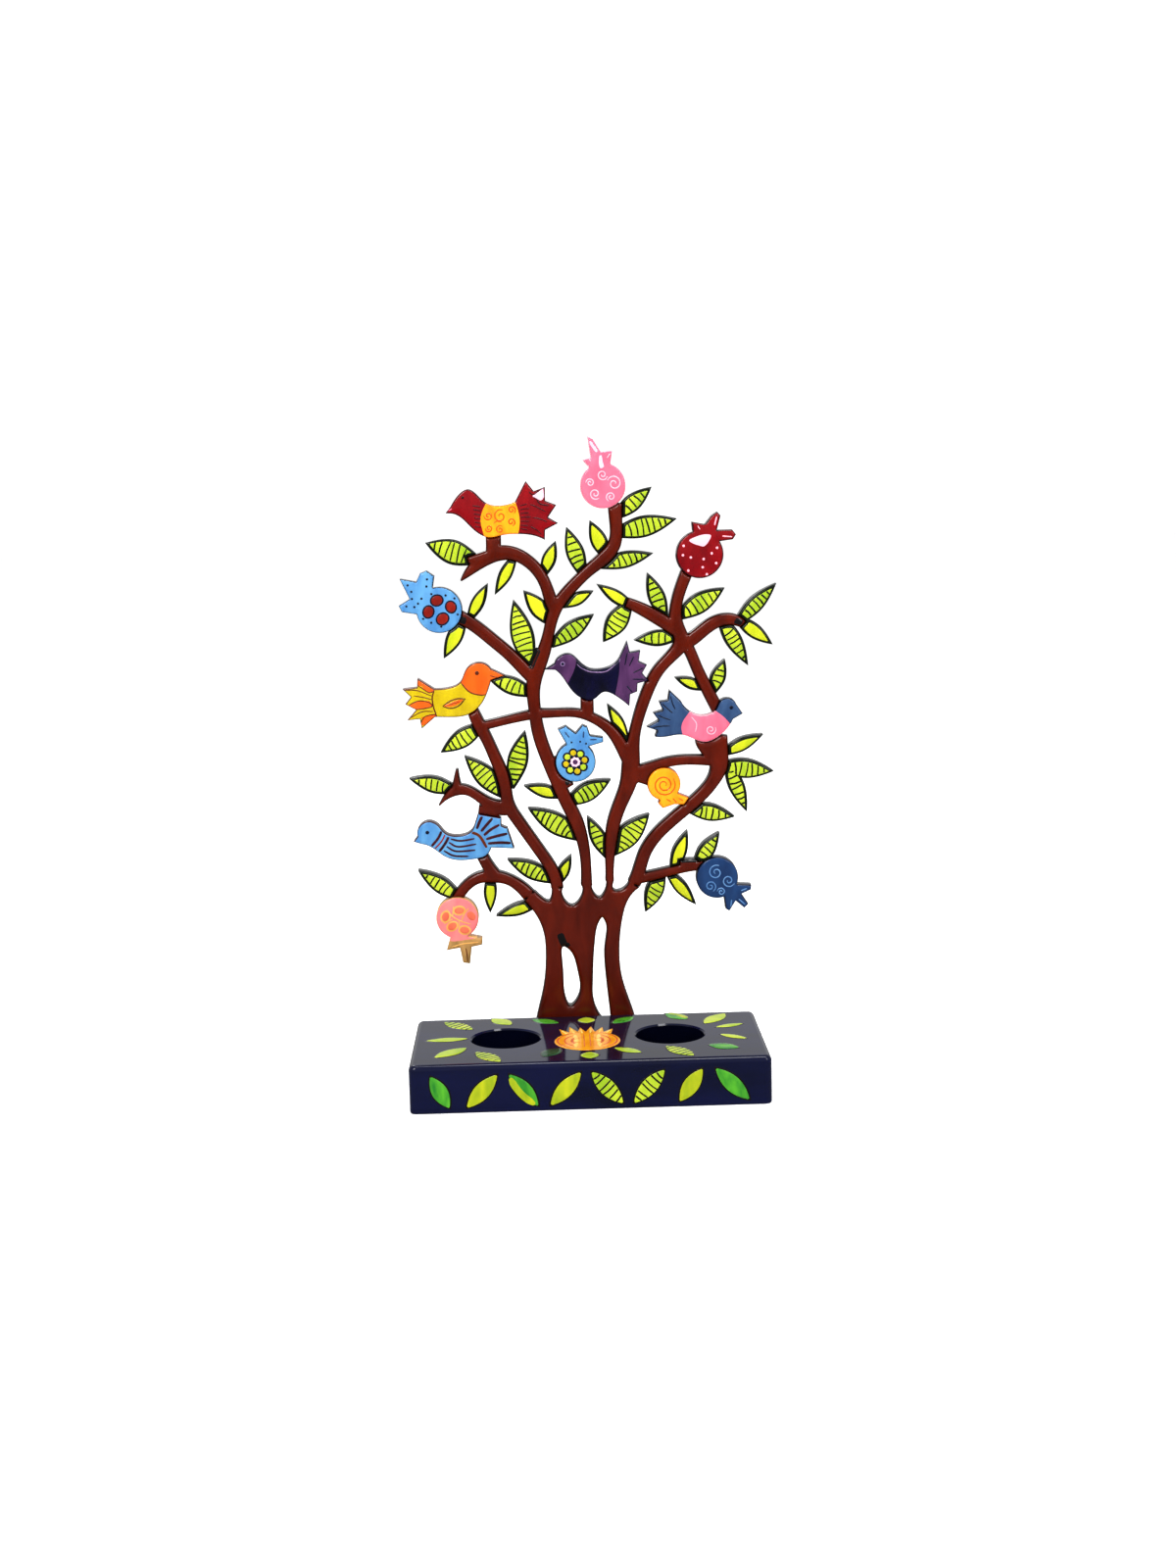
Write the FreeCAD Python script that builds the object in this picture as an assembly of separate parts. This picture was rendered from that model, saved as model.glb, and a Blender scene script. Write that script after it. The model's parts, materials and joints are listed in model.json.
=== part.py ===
import FreeCAD, Part
import math
import os

# Pomegranate tree candle holder, millimetres.
# Origin: centre of the base block's underside.  X runs along the block, Y to the back, Z up.
# The tree is a fretwork board on the block's back face; its outlines are drawn in X and Z.

# Base block
BASE_WIDTH = 127.5
BASE_DEPTH = 60.0
BASE_HEIGHT = 17.5
BASE_CORNER = 2.4
BASE_TOP_EDGE = 2.0
BASE_BOTTOM_EDGE = 0.8

# Candle bores in the base block
CANDLE_DIAMETER = 25.0
CANDLE_DEPTH = 12.0
CANDLE_SPACING = 60.0
CANDLE_SETBACK = 1.8
CANDLE_LIP = 0.6

# Fretwork board
BOARD = 6.5
BOARD_FRONT = BASE_DEPTH / 2
FOOT_PLATE_WIDTH = 44.0
FOOT_PLATE_BOTTOM = 1.5
FOOT_PLATE_TOP = 15.0
FOOT_PLATE_CORNER = 2.0

# Steel pins across the glued joints of the fretwork
PIN_DIAMETER = 1.5
PIN_LENGTH = 6.0

# Countersunk screws that hold the foot plate to the block
SCREW_X = (-13.0, 0.0, 13.0)
SCREW_Z = 8.0
SCREW_DIAMETER = 3.0
SCREW_LENGTH = 18.0
SCREW_CLEARANCE = 0.1
SCREW_HEAD_DIAMETER = 6.0
SCREW_HEAD_HEIGHT = 1.7
SCREW_HEAD_SINK = 0.2
SLOT_WIDTH = 0.9
SLOT_DEPTH = 0.8

# Leaves
LEAF_ROOT = 2.2
LEAF_SHAPE = ((0.22, 0.74), (0.48, 1.0), (0.76, 0.66))
LEAF_FOOT = 0.3

BACKWARD = FreeCAD.Vector(0, BOARD, 0)
FACING = FreeCAD.Vector(0, 1, 0)
UP = FreeCAD.Vector(0, 0, 1)


def at(x, z):
    return FreeCAD.Vector(x, BOARD_FRONT, z)


def polar(x, z, angle, distance):
    turn = math.radians(angle)
    return x + distance * math.cos(turn), z + distance * math.sin(turn)


def line(points):
    corners = [at(*point) for point in points]
    return [Part.makeLine(start, end) for start, end in zip(corners, corners[1:])]


def curve(points):
    spline = Part.BSplineCurve()
    spline.interpolate([at(*point) for point in points])
    return [spline.toShape()]


def board(*runs):
    """The board cut to runs of edges; a straight edge closes them from the end to the start."""
    edges = [edge for run in runs for edge in run]
    start = edges[0].firstVertex(True).Point
    end = edges[-1].lastVertex(True).Point
    if start.distanceToPoint(end) > 0.01:
        edges.append(Part.makeLine(end, start))
    return Part.Face(Part.Wire(edges)).extrude(BACKWARD)


def rounded_loop(points):
    spline = Part.BSplineCurve()
    spline.interpolate([at(*point) for point in points], PeriodicFlag=True)
    return Part.Face(Part.Wire(spline.toShape())).extrude(BACKWARD)


def disc(x, z, radius):
    return Part.makeCylinder(radius, BOARD, at(x, z), FACING)


def strip(*knots):
    """A branch: a smooth centre line through knots of (x, z, width)."""
    centre = Part.BSplineCurve()
    centre.interpolate([at(x, z) for x, z, width in knots])
    left = []
    right = []
    for x, z, width in knots:
        along = centre.tangent(centre.parameter(at(x, z)))[0]
        across = FreeCAD.Vector(-along.z, 0, along.x) * (width / 2)
        left.append((x + across.x, z + across.z))
        right.append((x - across.x, z - across.z))
    side = curve if len(knots) > 2 else line
    right.reverse()
    return board(side(left), line([left[-1], right[0]]), side(right))


def merged(solids):
    whole = solids[0]
    if len(solids) > 1:
        whole = solids[0].multiFuse(solids[1:]).removeSplitter()
    return biggest(whole)


def biggest(shape):
    return max(shape.Solids, key=lambda solid: solid.Volume)


def without(solid, others):
    near = [other for other in others if other.BoundBox.intersect(solid.BoundBox)]
    return biggest(solid.cut(near)) if near else solid


# ---------------------------------------------------------------- trunk and boughs

def trunk():
    """Three legs on a foot plate, joined above in a crotch with a sawn stub for each stem."""
    outline = board(
        curve([(-19.4, 13), (-18.2, 19), (-16.4, 26), (-15.2, 33), (-14.7, 41), (-15.4, 50.1),
               (-17.4, 55.5), (-19.6, 59), (-22.3, 62.4)]),
        line([(-22.3, 62.4), (-18.4, 65.8)]),
        curve([(-18.4, 65.8), (-14.8, 62.7), (-12.9, 62), (-12.1, 63.4), (-12, 66.9)]),
        line([(-12, 66.9), (-7.3, 66.9)]),
        curve([(-7.3, 66.9), (-6.9, 62), (-4.3, 60), (-1.5, 62), (-0.8, 67.6)]),
        line([(-0.8, 67.6), (3.6, 67.6)]),
        curve([(3.6, 67.6), (4.2, 64.4), (6.1, 62.8), (7.9, 64.6), (8.5, 69)]),
        line([(8.5, 69), (11.8, 69)]),
        curve([(11.8, 69), (12.4, 65.2), (14.6, 65.6), (17.2, 68.9)]),
        line([(17.2, 68.9), (21.3, 66)]),
        curve([(21.3, 66), (18.7, 63.8), (16.5, 60.4), (14.9, 55.4), (13.7, 48), (13.3, 39.7),
               (14, 32), (15.7, 25.4), (17.8, 19), (19.4, 13)]))
    left_gap = rounded_loop([(-7.2, 43.8), (-4.8, 41.4), (-3, 35.4), (-2, 28), (-3.4, 23.2), (-5.8, 21),
                             (-7.6, 24.4), (-8.1, 30), (-8.4, 38)])
    right_gap = board(
        curve([(7.6, 14), (4.4, 18.6), (3, 23.6), (3, 31), (3.4, 39), (4.2, 47), (5.4, 52.4), (7, 55)]),
        curve([(7, 55), (8.3, 52.4), (7.7, 44), (7.6, 36), (8.2, 28), (9, 20), (9.5, 14)]))
    side = FOOT_PLATE_WIDTH / 2
    plate = board(line([(-side, FOOT_PLATE_BOTTOM), (-side, FOOT_PLATE_TOP),
                        (side, FOOT_PLATE_TOP), (side, FOOT_PLATE_BOTTOM)]))
    across = [edge for edge in plate.Edges if abs(edge.tangentAt(edge.FirstParameter).y) > 0.99]
    plate = plate.makeFillet(FOOT_PLATE_CORNER, across)
    return merged([outline.cut([left_gap, right_gap]), plate])


BOUGHS = {
    "trunk": [trunk()],
    "bough_left_main": [
        strip((1.4, 67.6, 4.4), (1.4, 73, 4), (1, 80, 4.2), (-0.3, 87, 4.8), (-2.3, 93, 5.3),
              (-5.4, 99.6, 5.2), (-9.2, 108.6, 5.1), (-12.6, 117.4, 5), (-15.4, 127, 4.9),
              (-16.5, 136, 4.7), (-16.6, 143.6, 5.4), (-14.8, 150.1, 5.6), (-12.3, 156.4, 5),
              (-10.4, 163, 4.3), (-8.6, 169.6, 4.6), (-5.4, 175.2, 4.6), (-0.5, 180.6, 4.5),
              (5, 185.6, 4.5), (11, 190.4, 5.2), (14.5, 195, 4.9), (15.3, 201, 4.7), (15.2, 210, 5.4)),
        strip((-12, 113.6, 5), (-6, 115.4, 4)),
        strip((-8.4, 105.4, 5), (-3.4, 107.8, 4)),
    ],
    "bough_left_inner": [
        strip((-9.7, 66.9, 4.7), (-11.6, 74, 4.6), (-15.2, 80, 4.5), (-19.3, 86.2, 4.5),
              (-24.2, 93.6, 4.6), (-27.2, 99.2, 4.8), (-28, 104.6, 4.6), (-29.2, 110.6, 4.8),
              (-31.6, 117, 4.6), (-34.4, 123.8, 4.5), (-37.2, 129.6, 4.8), (-39.6, 135.6, 3.9)),
        strip((-26.2, 98.4, 6), (-32.6, 98.7, 5), (-38.1, 102.3, 3.8), (-42.6, 104.9, 3.9),
              (-46.6, 105, 4.2), (-49.4, 103.3, 2.8), (-53, 99.4, 0.6)),
        strip((-46.1, 104.4, 5), (-46.2, 109, 2.5), (-45.9, 113, 1)),
        strip((-34.4, 98.9, 7.6), (-34.8, 92, 8.5)),
    ],
    "bough_lower_left": [
        strip((-20.35, 64.1, 5.2), (-23.8, 67.7, 4.6), (-28.2, 70.5, 4.2), (-33.6, 71.8, 4.8),
              (-39.6, 71.2, 4.3), (-44, 68.3, 4.1), (-46.9, 64.6, 4.2), (-48.8, 60, 4.2)),
        strip((-32.8, 71.4, 5.6), (-35.8, 76.4, 4.6), (-38.2, 81.4, 4.4)),
    ],
    "bough_right_main": [
        strip((10.15, 69, 3.3), (10.3, 75.6, 3.4), (10.8, 83, 4.5), (12.3, 91.6, 5.1), (14.8, 98.4, 5.3),
              (18, 106.4, 6.3), (19, 113, 6.8), (19.7, 119.2, 5.4), (20.8, 125.4, 4.3),
              (22.8, 132.6, 4.3), (25.8, 140.6, 4.5), (30, 148.2, 4.5), (35.4, 153.8, 4.7),
              (38.6, 158.4, 6), (37, 164.2, 5.4), (36.6, 169.6, 4.6), (38, 176.4, 4.4), (42, 186.6, 4.5)),
    ],
    "bough_outer": [
        strip((19.25, 67.45, 5), (21.4, 72.8, 5), (23.4, 78.8, 4.8), (28.4, 86.2, 4.8), (34, 91.4, 4.8),
              (40.4, 96.6, 4.8), (46.2, 101.8, 4.9), (50, 106.6, 5.2), (51.8, 111, 6.6),
              (51, 116.4, 9.4), (50, 124, 10.8)),
    ],
    "bough_spotted_fruit": [
        strip((-17, 146.6, 5), (-21, 151, 5), (-25.4, 155.6, 4.8), (-30.8, 160.4, 4.8),
              (-36.8, 165.5, 4.8), (-44, 170, 5)),
    ],
    "bough_red_bird": [
        strip((-7.6, 170.4, 4), (-9.6, 175.6, 4.8), (-10.9, 180, 4.5), (-13.2, 184.8, 4.5),
              (-17.4, 189.4, 4.7), (-22.6, 192.2, 5.1), (-28.6, 192.4, 5.6), (-33.4, 190.3, 5),
              (-37.6, 187.4, 4), (-42.2, 182.8, 0.6)),
        strip((-30.6, 192, 4.4), (-39.6, 190.2, 2.6)),
        strip((-29.9, 192.4, 5.6), (-29.8, 200.4, 5.6)),
    ],
    "bough_lower_right": [
        strip((19.5, 69, 4), (25.5, 70.3, 3.9), (31, 71.5, 3.7), (37, 72.8, 3.6), (45.6, 73.9, 3.6)),
        strip((36.6, 74.8, 3), (43.6, 75, 3)),
    ],
    "bough_right_west": [
        strip((38.4, 161.6, 5), (34, 164.8, 5.2), (28.4, 168.4, 5.1),
              (22.6, 171.6, 4.5), (18.4, 173.5, 3.8)),
    ],
    "bough_right_east": [
        strip((38.6, 157.6, 5), (44.6, 160.8, 5), (49.4, 164.4, 4.9), (54.6, 166.3, 4.6),
              (58.6, 166, 4.2), (61.6, 164.2, 3)),
    ],
    "bough_navy_bird": [
        strip((38.6, 160, 5), (41.6, 155, 4.4), (44.3, 148.4, 4.3),
              (47.4, 141.6, 4.5), (52, 132.4, 4.7)),
    ],
    "rung_left": [
        strip((-37.6, 128.6, 3.6), (-33.2, 129.5, 3.4), (-25, 131.3, 3.4), (-16.6, 132.8, 3.8)),
    ],
    "rung_right": [
        strip((-16.6, 133.4, 3.8), (-8, 133.1, 3.4), (0, 132.7, 3.5), (6, 130.4, 3.8),
              (11.4, 126.4, 4.3), (15.4, 120.6, 5), (18.4, 114.4, 5.4)),
        strip((3.1, 131.6, 5), (3.2, 140, 4.7)),
    ],
    "rung_outer": [
        strip((18.4, 107.6, 6.4), (22.4, 109.9, 5.6), (27, 111.8, 4.5), (33, 113.6, 3.9),
              (40, 114.2, 3.8), (50, 113.7, 4.2)),
        strip((21.6, 108.8, 5), (27.4, 106.4, 4.4)),
    ],
}

# ---------------------------------------------------------------- birds and pomegranates


def red_bird():
    return board(
        line([(-47, 207.5), (-45, 210)]),
        curve([(-45, 210), (-42.5, 213.6), (-38.5, 216), (-35.4, 214), (-32, 210.8), (-26.8, 209.8),
               (-21.5, 211.2)]),
        line([(-21.5, 211.2), (-17.5, 218.5), (-14.6, 214.8), (-10.5, 216.2), (-10.5, 211.2),
              (-6.5, 209.6), (-9.6, 205.2), (-6, 203), (-10.8, 200.6), (-11, 197)]),
        curve([(-11, 197), (-15.5, 198.8), (-21, 199.4), (-27, 199), (-31, 198.3), (-35, 199.8),
               (-38.8, 203.2), (-42, 206.2), (-44.6, 207.3)]))


def yellow_bird():
    return board(
        line([(-27, 147.6), (-32.2, 150.2)]),
        curve([(-32.2, 150.2), (-35, 152.4), (-38.6, 152.3), (-41.8, 149.4), (-43.6, 145.6),
               (-47.6, 143.6), (-53.4, 143.2)]),
        line([(-53.4, 143.2), (-59.4, 147.2), (-59.6, 143.9), (-65, 143.4), (-62, 140.4),
              (-64.2, 137.8), (-60.2, 135.6), (-63.6, 131.8), (-59, 132.2), (-58.4, 128.6),
              (-53.4, 132.8)]),
        curve([(-53.4, 132.8), (-47, 132.6), (-41, 133.4), (-36.4, 136.8), (-33.8, 141.4),
               (-32.2, 146)]))


def purple_bird():
    return board(
        line([(-12.2, 149.4), (-8.6, 151.6)]),
        curve([(-8.6, 151.6), (-6.4, 154.4), (-2.8, 155), (0.4, 152.4), (4, 149.6), (9, 149.2),
               (13, 150.6), (15.6, 153.4)]),
        line([(15.6, 153.4), (18.4, 159.2), (19.4, 155), (23.2, 155.6), (22.6, 151.6), (25.6, 150.2),
              (23.8, 147.2), (26, 144.4), (22, 143.4), (21.8, 140.4), (19.2, 139.4), (18.8, 135)]),
        curve([(18.8, 135), (14.4, 138.6), (9, 140.4), (5.6, 137.9), (1.4, 138.3), (-3, 142.2),
               (-6, 146.8), (-8.4, 149.2)]))


def navy_bird():
    return board(
        line([(61, 131.2), (58.6, 134.8)]),
        curve([(58.6, 134.8), (55.8, 137.1), (53, 136.4), (51, 133), (46.4, 130.8), (42, 132),
               (38.2, 136.2)]),
        line([(38.2, 136.2), (33.8, 140.6), (33.2, 136.8), (29.8, 136.4), (31.2, 133.2), (27.6, 132.2),
              (29.6, 129.4), (25.2, 127), (29, 125.6), (28.2, 123.3)]),
        curve([(28.2, 123.3), (33.6, 123.4), (38, 123.8), (42, 122.4), (46.6, 120.9), (51.2, 122.4),
               (55, 125.6), (57.4, 129.2)]))


def striped_bird():
    return board(
        line([(-63, 86), (-61.4, 88)]),
        curve([(-61.4, 88), (-60.8, 91.6), (-57.6, 93.6), (-53.8, 92.2), (-51, 89), (-46.4, 87.8),
               (-42, 89), (-40, 92)]),
        line([(-40, 92), (-38.6, 96), (-30, 94.2), (-30, 91.2), (-27.8, 90.2), (-25.4, 82.4),
              (-34, 83)]),
        curve([(-34, 83), (-36.4, 79.8), (-41, 78.7), (-46.4, 78.5), (-51.4, 80), (-55.4, 83),
               (-60, 85)]))


def pomegranate(x, z, radius, crown):
    """A round fruit and its crown of sepals, drawn point by point from one neck to the other."""
    return merged([disc(x, z, radius), board(line([(x, z)] + crown + [(x, z)]))])


ORNAMENTS = {
    "red_bird": red_bird(),
    "yellow_bird": yellow_bird(),
    "purple_bird": purple_bird(),
    "navy_bird": navy_bird(),
    "striped_bird": striped_bird(),
    "pomegranate_pink": pomegranate(10.7, 216.2, 8.3, [
        (6.2, 222.4), (3.4, 225.6), (6.4, 226.4), (5.4, 234.2), (7.4, 233), (10.2, 228.4), (14.4, 228.8),
        (13.6, 223.6)]),
    "pomegranate_red": pomegranate(45.8, 190.4, 8.7, [
        (43.4, 198.2), (43, 202.4), (47.8, 201.4), (50.4, 204.6), (52.4, 205.8), (53.6, 204.4),
        (52.2, 199.2), (57.8, 199.2), (59.2, 197.4), (58, 195.6), (53, 195)]),
    "pomegranate_spotted": pomegranate(-50.5, 172.3, 8.4, [
        (-58, 170.8), (-64.2, 171.9), (-65.3, 174.2), (-61.2, 176.6), (-64.6, 184), (-58.6, 182.8),
        (-57, 186), (-54.8, 186.8), (-52, 184.8), (-52.8, 179.8)]),
    "pomegranate_flower": pomegranate(-1.7, 114.6, 7.5, [
        (-4.8, 121), (-8, 127), (-5, 128.2), (-1.4, 125.4), (1.2, 128.4), (3, 127.6), (4, 124.4),
        (8.8, 123.6), (8.8, 121.8), (3.6, 120.4)]),
    "pomegranate_orange": pomegranate(31.2, 105.4, 6.2, [
        (29.6, 100), (29, 98), (30.6, 96.2), (35, 97.6), (38.6, 97.4), (40.4, 100), (36.2, 101.8)]),
    "pomegranate_coral": pomegranate(-47.6, 56.4, 8, [
        (-50.4, 49.2), (-52, 44), (-47, 44.8), (-46, 39), (-43.4, 38.6), (-42.6, 45), (-38.6, 45.8),
        (-38.4, 48.2), (-44, 49.4)]),
    "pomegranate_navy": pomegranate(50.7, 69.2, 7.9, [
        (57.8, 66.4), (63.6, 66), (63.4, 64.2), (59.8, 62.6), (62.4, 58.6), (60.8, 57.2), (57.6, 60),
        (55.2, 56.2), (53.8, 57), (53.2, 62)]),
}

# ---------------------------------------------------------------- leaves

# Each leaf: tip x, tip z, foot x, foot z, width.
LEAVES = {
    "leaves_red_bird": [
        (-54.8, 197, -37.4, 190.6, 9),
        (-7, 196.6, -11.4, 185.4, 5.3),
        (-29.9, 177.4, -22.8, 190.2, 4.9),
        (-19.4, 178.7, -10, 167.4, 6.8),
    ],
    "leaves_spotted_fruit": [
        (-32.4, 181.7, -39, 169.6, 5),
        (-49.4, 154.4, -42.2, 167.8, 6),
        (-23.2, 175.4, -17.8, 151.8, 8.6),
    ],
    "leaves_pink_fruit": [
        (-3, 201.6, 2.4, 185, 6.8),
        (5.6, 203.8, 11, 191.2, 6.2),
        (6.4, 178, -3.4, 173.4, 4.8),
        (6.4, 169.4, -8, 159.4, 6.8),
        (28.5, 215.4, 16.2, 205.6, 6.4),
        (37.6, 203.7, 15.6, 199, 7.9),
        (28.7, 191.3, 9.8, 187.4, 6.2),
    ],
    "leaves_right_west": [
        (7.6, 180.4, 20.4, 171.8, 5),
        (9.6, 159, 18.6, 171.8, 8),
        (21, 159.4, 36.4, 160.4, 6),
    ],
    "leaves_right_crown": [
        (26.4, 184.2, 32.2, 168.6, 6.4),
        (54.8, 178, 38.6, 168.4, 7.5),
    ],
    "leaves_right_east": [
        (73.9, 179.2, 60, 165.6, 5.9),
        (63.2, 149, 53.6, 166.6, 6.3),
        (72.4, 156.6, 60.2, 166, 5.6),
    ],
    "leaves_navy_bird": [
        (35.8, 145.2, 45.6, 141.4, 4.4),
        (54.6, 151.6, 50.4, 140.6, 5.6),
    ],
    "leaves_left_main": [
        (-34, 147.4, -17.9, 140.9, 6.6),
        (-21.2, 106, -8, 102.2, 5),
        (11.4, 107.6, -3.8, 99.8, 7.2),
        (-20, 97.6, -1.4, 86.4, 8),
    ],
    "leaves_left_inner": [
        (-51.8, 119.4, -37, 128.4, 7),
        (-20.2, 126.7, -25.4, 107.4, 7.8),
        (-43, 117.8, -29.2, 103.4, 7.8),
        (-63.8, 109.9, -47.8, 105.4, 6.3),
        (-4, 79.2, -9, 69.4, 4.6),
        (-28.2, 78.2, -12, 70.2, 6.6),
    ],
    "leaves_lower_left": [
        (-61.8, 75, -47.4, 64.6, 6.2),
        (-35.2, 57.9, -34.8, 71.2, 5),
        (-33, 56.6, -18, 60.8, 4.8),
    ],
    "leaves_right_main": [
        (2.2, 93.8, 9, 79.4, 6),
        (25.6, 94.2, 11.6, 80.4, 8.6),
        (10.6, 136, 17, 124.4, 4.6),
    ],
    "leaves_outer": [
        (68.6, 123.2, 54.6, 116.8, 5),
        (72.4, 109.2, 53.6, 111.4, 7.3),
        (62.2, 94, 55.6, 111.4, 6.1),
        (57.6, 92.3, 41, 95.6, 6.6),
    ],
    "leaves_lower_right": [
        (39.8, 87.4, 34.4, 73.4, 5.4),
        (51.8, 86.4, 43.4, 74.6, 6),
        (23.3, 56.6, 29.6, 70.4, 6.8),
        (42.7, 58.8, 32.8, 70.8, 5),
    ],
}


def leaf(tip_x, tip_z, foot_x, foot_z, width):
    """A pointed lens whose foot runs on into the branch it grows from."""
    reach = math.hypot(tip_x - foot_x, tip_z - foot_z)
    along_x = (tip_x - foot_x) / reach
    along_z = (tip_z - foot_z) / reach
    length = reach + LEAF_ROOT

    def spot(fraction, side):
        across = side * width / 2
        return (tip_x - along_x * length * (1 - fraction) - along_z * across,
                tip_z - along_z * length * (1 - fraction) + along_x * across)

    sides = []
    for side in (1, -1):
        points = [spot(0, side * LEAF_FOOT)]
        points += [spot(fraction, side * fullness) for fraction, fullness in LEAF_SHAPE]
        points.append(spot(1, 0))
        sides.append(points)
    sides[1].reverse()
    return board(curve(sides[0]), curve(sides[1]))


# ---------------------------------------------------------------- pins

# Each pin: x, z and the angle of its axis, centred on the joint that it crosses.
PINS = [
    (-20.35, 64.1, 133), (-9.7, 66.9, 95), (1.4, 67.6, 90), (10.15, 69, 90), (18.2, 66.4, 64),
    (-18.4, 148.1, 133), (-8.9, 173.9, 118), (24, 69.9, 8), (34.7, 164.2, 144), (41.2, 160.6, 20),
    (42, 155.9, 112), (-34.4, 129.3, 12), (-19.2, 132.3, 11), (-13.1, 133.2, 178), (16.4, 118.6, 135),
    (21.2, 108.8, 25), (47.4, 113.9, 178),
    (-29.8, 198.6, 90), (-39.2, 134.4, 112), (3.2, 138, 90), (51.4, 133.8, 116), (48.2, 121.2, 95),
    (-37.4, 79.6, 114), (-34.6, 95.3, 88),
    (14.4, 208.9, 96), (41, 183.8, 64), (-42.9, 169.5, 147), (-9, 112.6, 16), (26.7, 109.6, 138),
    (-47.3, 64.2, 60), (44.2, 73.7, 8),
]


def pin(x, z, angle):
    start = polar(x, z, angle, -PIN_LENGTH / 2)
    turn = math.radians(angle)
    way = FreeCAD.Vector(math.cos(turn), 0, math.sin(turn))
    return Part.makeCylinder(PIN_DIAMETER / 2, PIN_LENGTH, at(*start) + BACKWARD / 2, way)


def bored(solid, tools):
    near = [tool for tool in tools if tool.BoundBox.intersect(solid.BoundBox)]
    return solid.cut(near) if near else solid


# ---------------------------------------------------------------- base block and screws


def screw(x):
    """A slotted countersunk wood screw, driven forward from the back of the foot plate."""
    back = FreeCAD.Vector(x, BOARD_FRONT + BOARD - SCREW_HEAD_SINK, SCREW_Z)
    head = Part.makeCone(SCREW_HEAD_DIAMETER / 2, SCREW_DIAMETER / 2, SCREW_HEAD_HEIGHT, back, -FACING)
    shank = Part.makeCylinder(SCREW_DIAMETER / 2, SCREW_LENGTH - SCREW_DIAMETER, back, -FACING)
    neck = back - FACING * (SCREW_LENGTH - SCREW_DIAMETER)
    point = Part.makeCone(SCREW_DIAMETER / 2, 0.2, SCREW_DIAMETER, neck, -FACING)
    slot = Part.makeBox(SCREW_HEAD_DIAMETER + 1, SLOT_DEPTH, SLOT_WIDTH)
    slot.translate(back - FreeCAD.Vector(SCREW_HEAD_DIAMETER / 2 + 0.5, SLOT_DEPTH, SLOT_WIDTH / 2))
    return head.multiFuse([shank, point]).removeSplitter().cut(slot)


def screw_hole(x):
    """The countersink and clearance hole in the foot plate."""
    back = FreeCAD.Vector(x, BOARD_FRONT + BOARD, SCREW_Z)
    sink = Part.makeCylinder(SCREW_HEAD_DIAMETER / 2, SCREW_HEAD_SINK, back, -FACING)
    cone = Part.makeCone(SCREW_HEAD_DIAMETER / 2, SCREW_DIAMETER / 2, SCREW_HEAD_HEIGHT,
                         back - FACING * SCREW_HEAD_SINK, -FACING)
    hole = Part.makeCylinder(SCREW_DIAMETER / 2 + SCREW_CLEARANCE,
                             BOARD - SCREW_HEAD_HEIGHT - SCREW_HEAD_SINK,
                             FreeCAD.Vector(x, BOARD_FRONT, SCREW_Z), FACING)
    return sink.multiFuse([cone, hole])


def upright(edge):
    return abs(edge.tangentAt(edge.FirstParameter).z) > 0.99 and edge.Length > BASE_HEIGHT / 2


def level_with(shape, height):
    return [edge for edge in shape.Edges
            if abs(edge.BoundBox.ZMin - height) < 0.01 and abs(edge.BoundBox.ZMax - height) < 0.01]


def base_block(screws):
    block = Part.makeBox(BASE_WIDTH, BASE_DEPTH, BASE_HEIGHT,
                         FreeCAD.Vector(-BASE_WIDTH / 2, -BASE_DEPTH / 2, 0))
    block = block.makeFillet(BASE_CORNER, [edge for edge in block.Edges if upright(edge)])
    block = block.makeFillet(BASE_TOP_EDGE, level_with(block, BASE_HEIGHT))
    block = block.makeFillet(BASE_BOTTOM_EDGE, level_with(block, 0))
    floor = BASE_HEIGHT - CANDLE_DEPTH
    for side in (-1, 1):
        foot = FreeCAD.Vector(side * CANDLE_SPACING / 2, CANDLE_SETBACK, floor)
        bore = Part.makeCylinder(CANDLE_DIAMETER / 2, CANDLE_DEPTH, foot, UP)
        lip = Part.makeCone(CANDLE_DIAMETER / 2, CANDLE_DIAMETER / 2 + CANDLE_LIP, CANDLE_LIP,
                            foot + UP * (CANDLE_DEPTH - CANDLE_LIP), UP)
        block = block.cut([bore, lip])
    return block.cut(screws)


# ---------------------------------------------------------------- build


def build():
    parts = {}
    pins = [pin(*spec) for spec in PINS]
    screws = [screw(x) for x in SCREW_X]
    pieces = dict(ORNAMENTS)
    for name, solids in BOUGHS.items():
        pieces[name] = without(merged(solids), pieces.values())
    for name, solid in pieces.items():
        parts[name] = bored(solid, pins)
    parts["trunk"] = parts["trunk"].cut([screw_hole(x) for x in SCREW_X])
    taken = list(pieces.values())
    for name, specs in LEAVES.items():
        blades = [without(leaf(*spec), taken) for spec in specs]
        taken += blades
        parts[name] = Part.makeCompound(blades)
    parts["joint_pins"] = Part.makeCompound(pins)
    parts["foot_screws"] = Part.makeCompound(screws)
    parts["base_block"] = base_block(screws)
    return parts


for node, shape in build().items():
    shape.exportStep("parts/" + node + ".step")
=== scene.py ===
import json
import math
import random

import bmesh
import bpy
import numpy as np
from mathutils import Matrix, Vector
from mathutils.geometry import delaunay_2d_cdt


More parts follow.
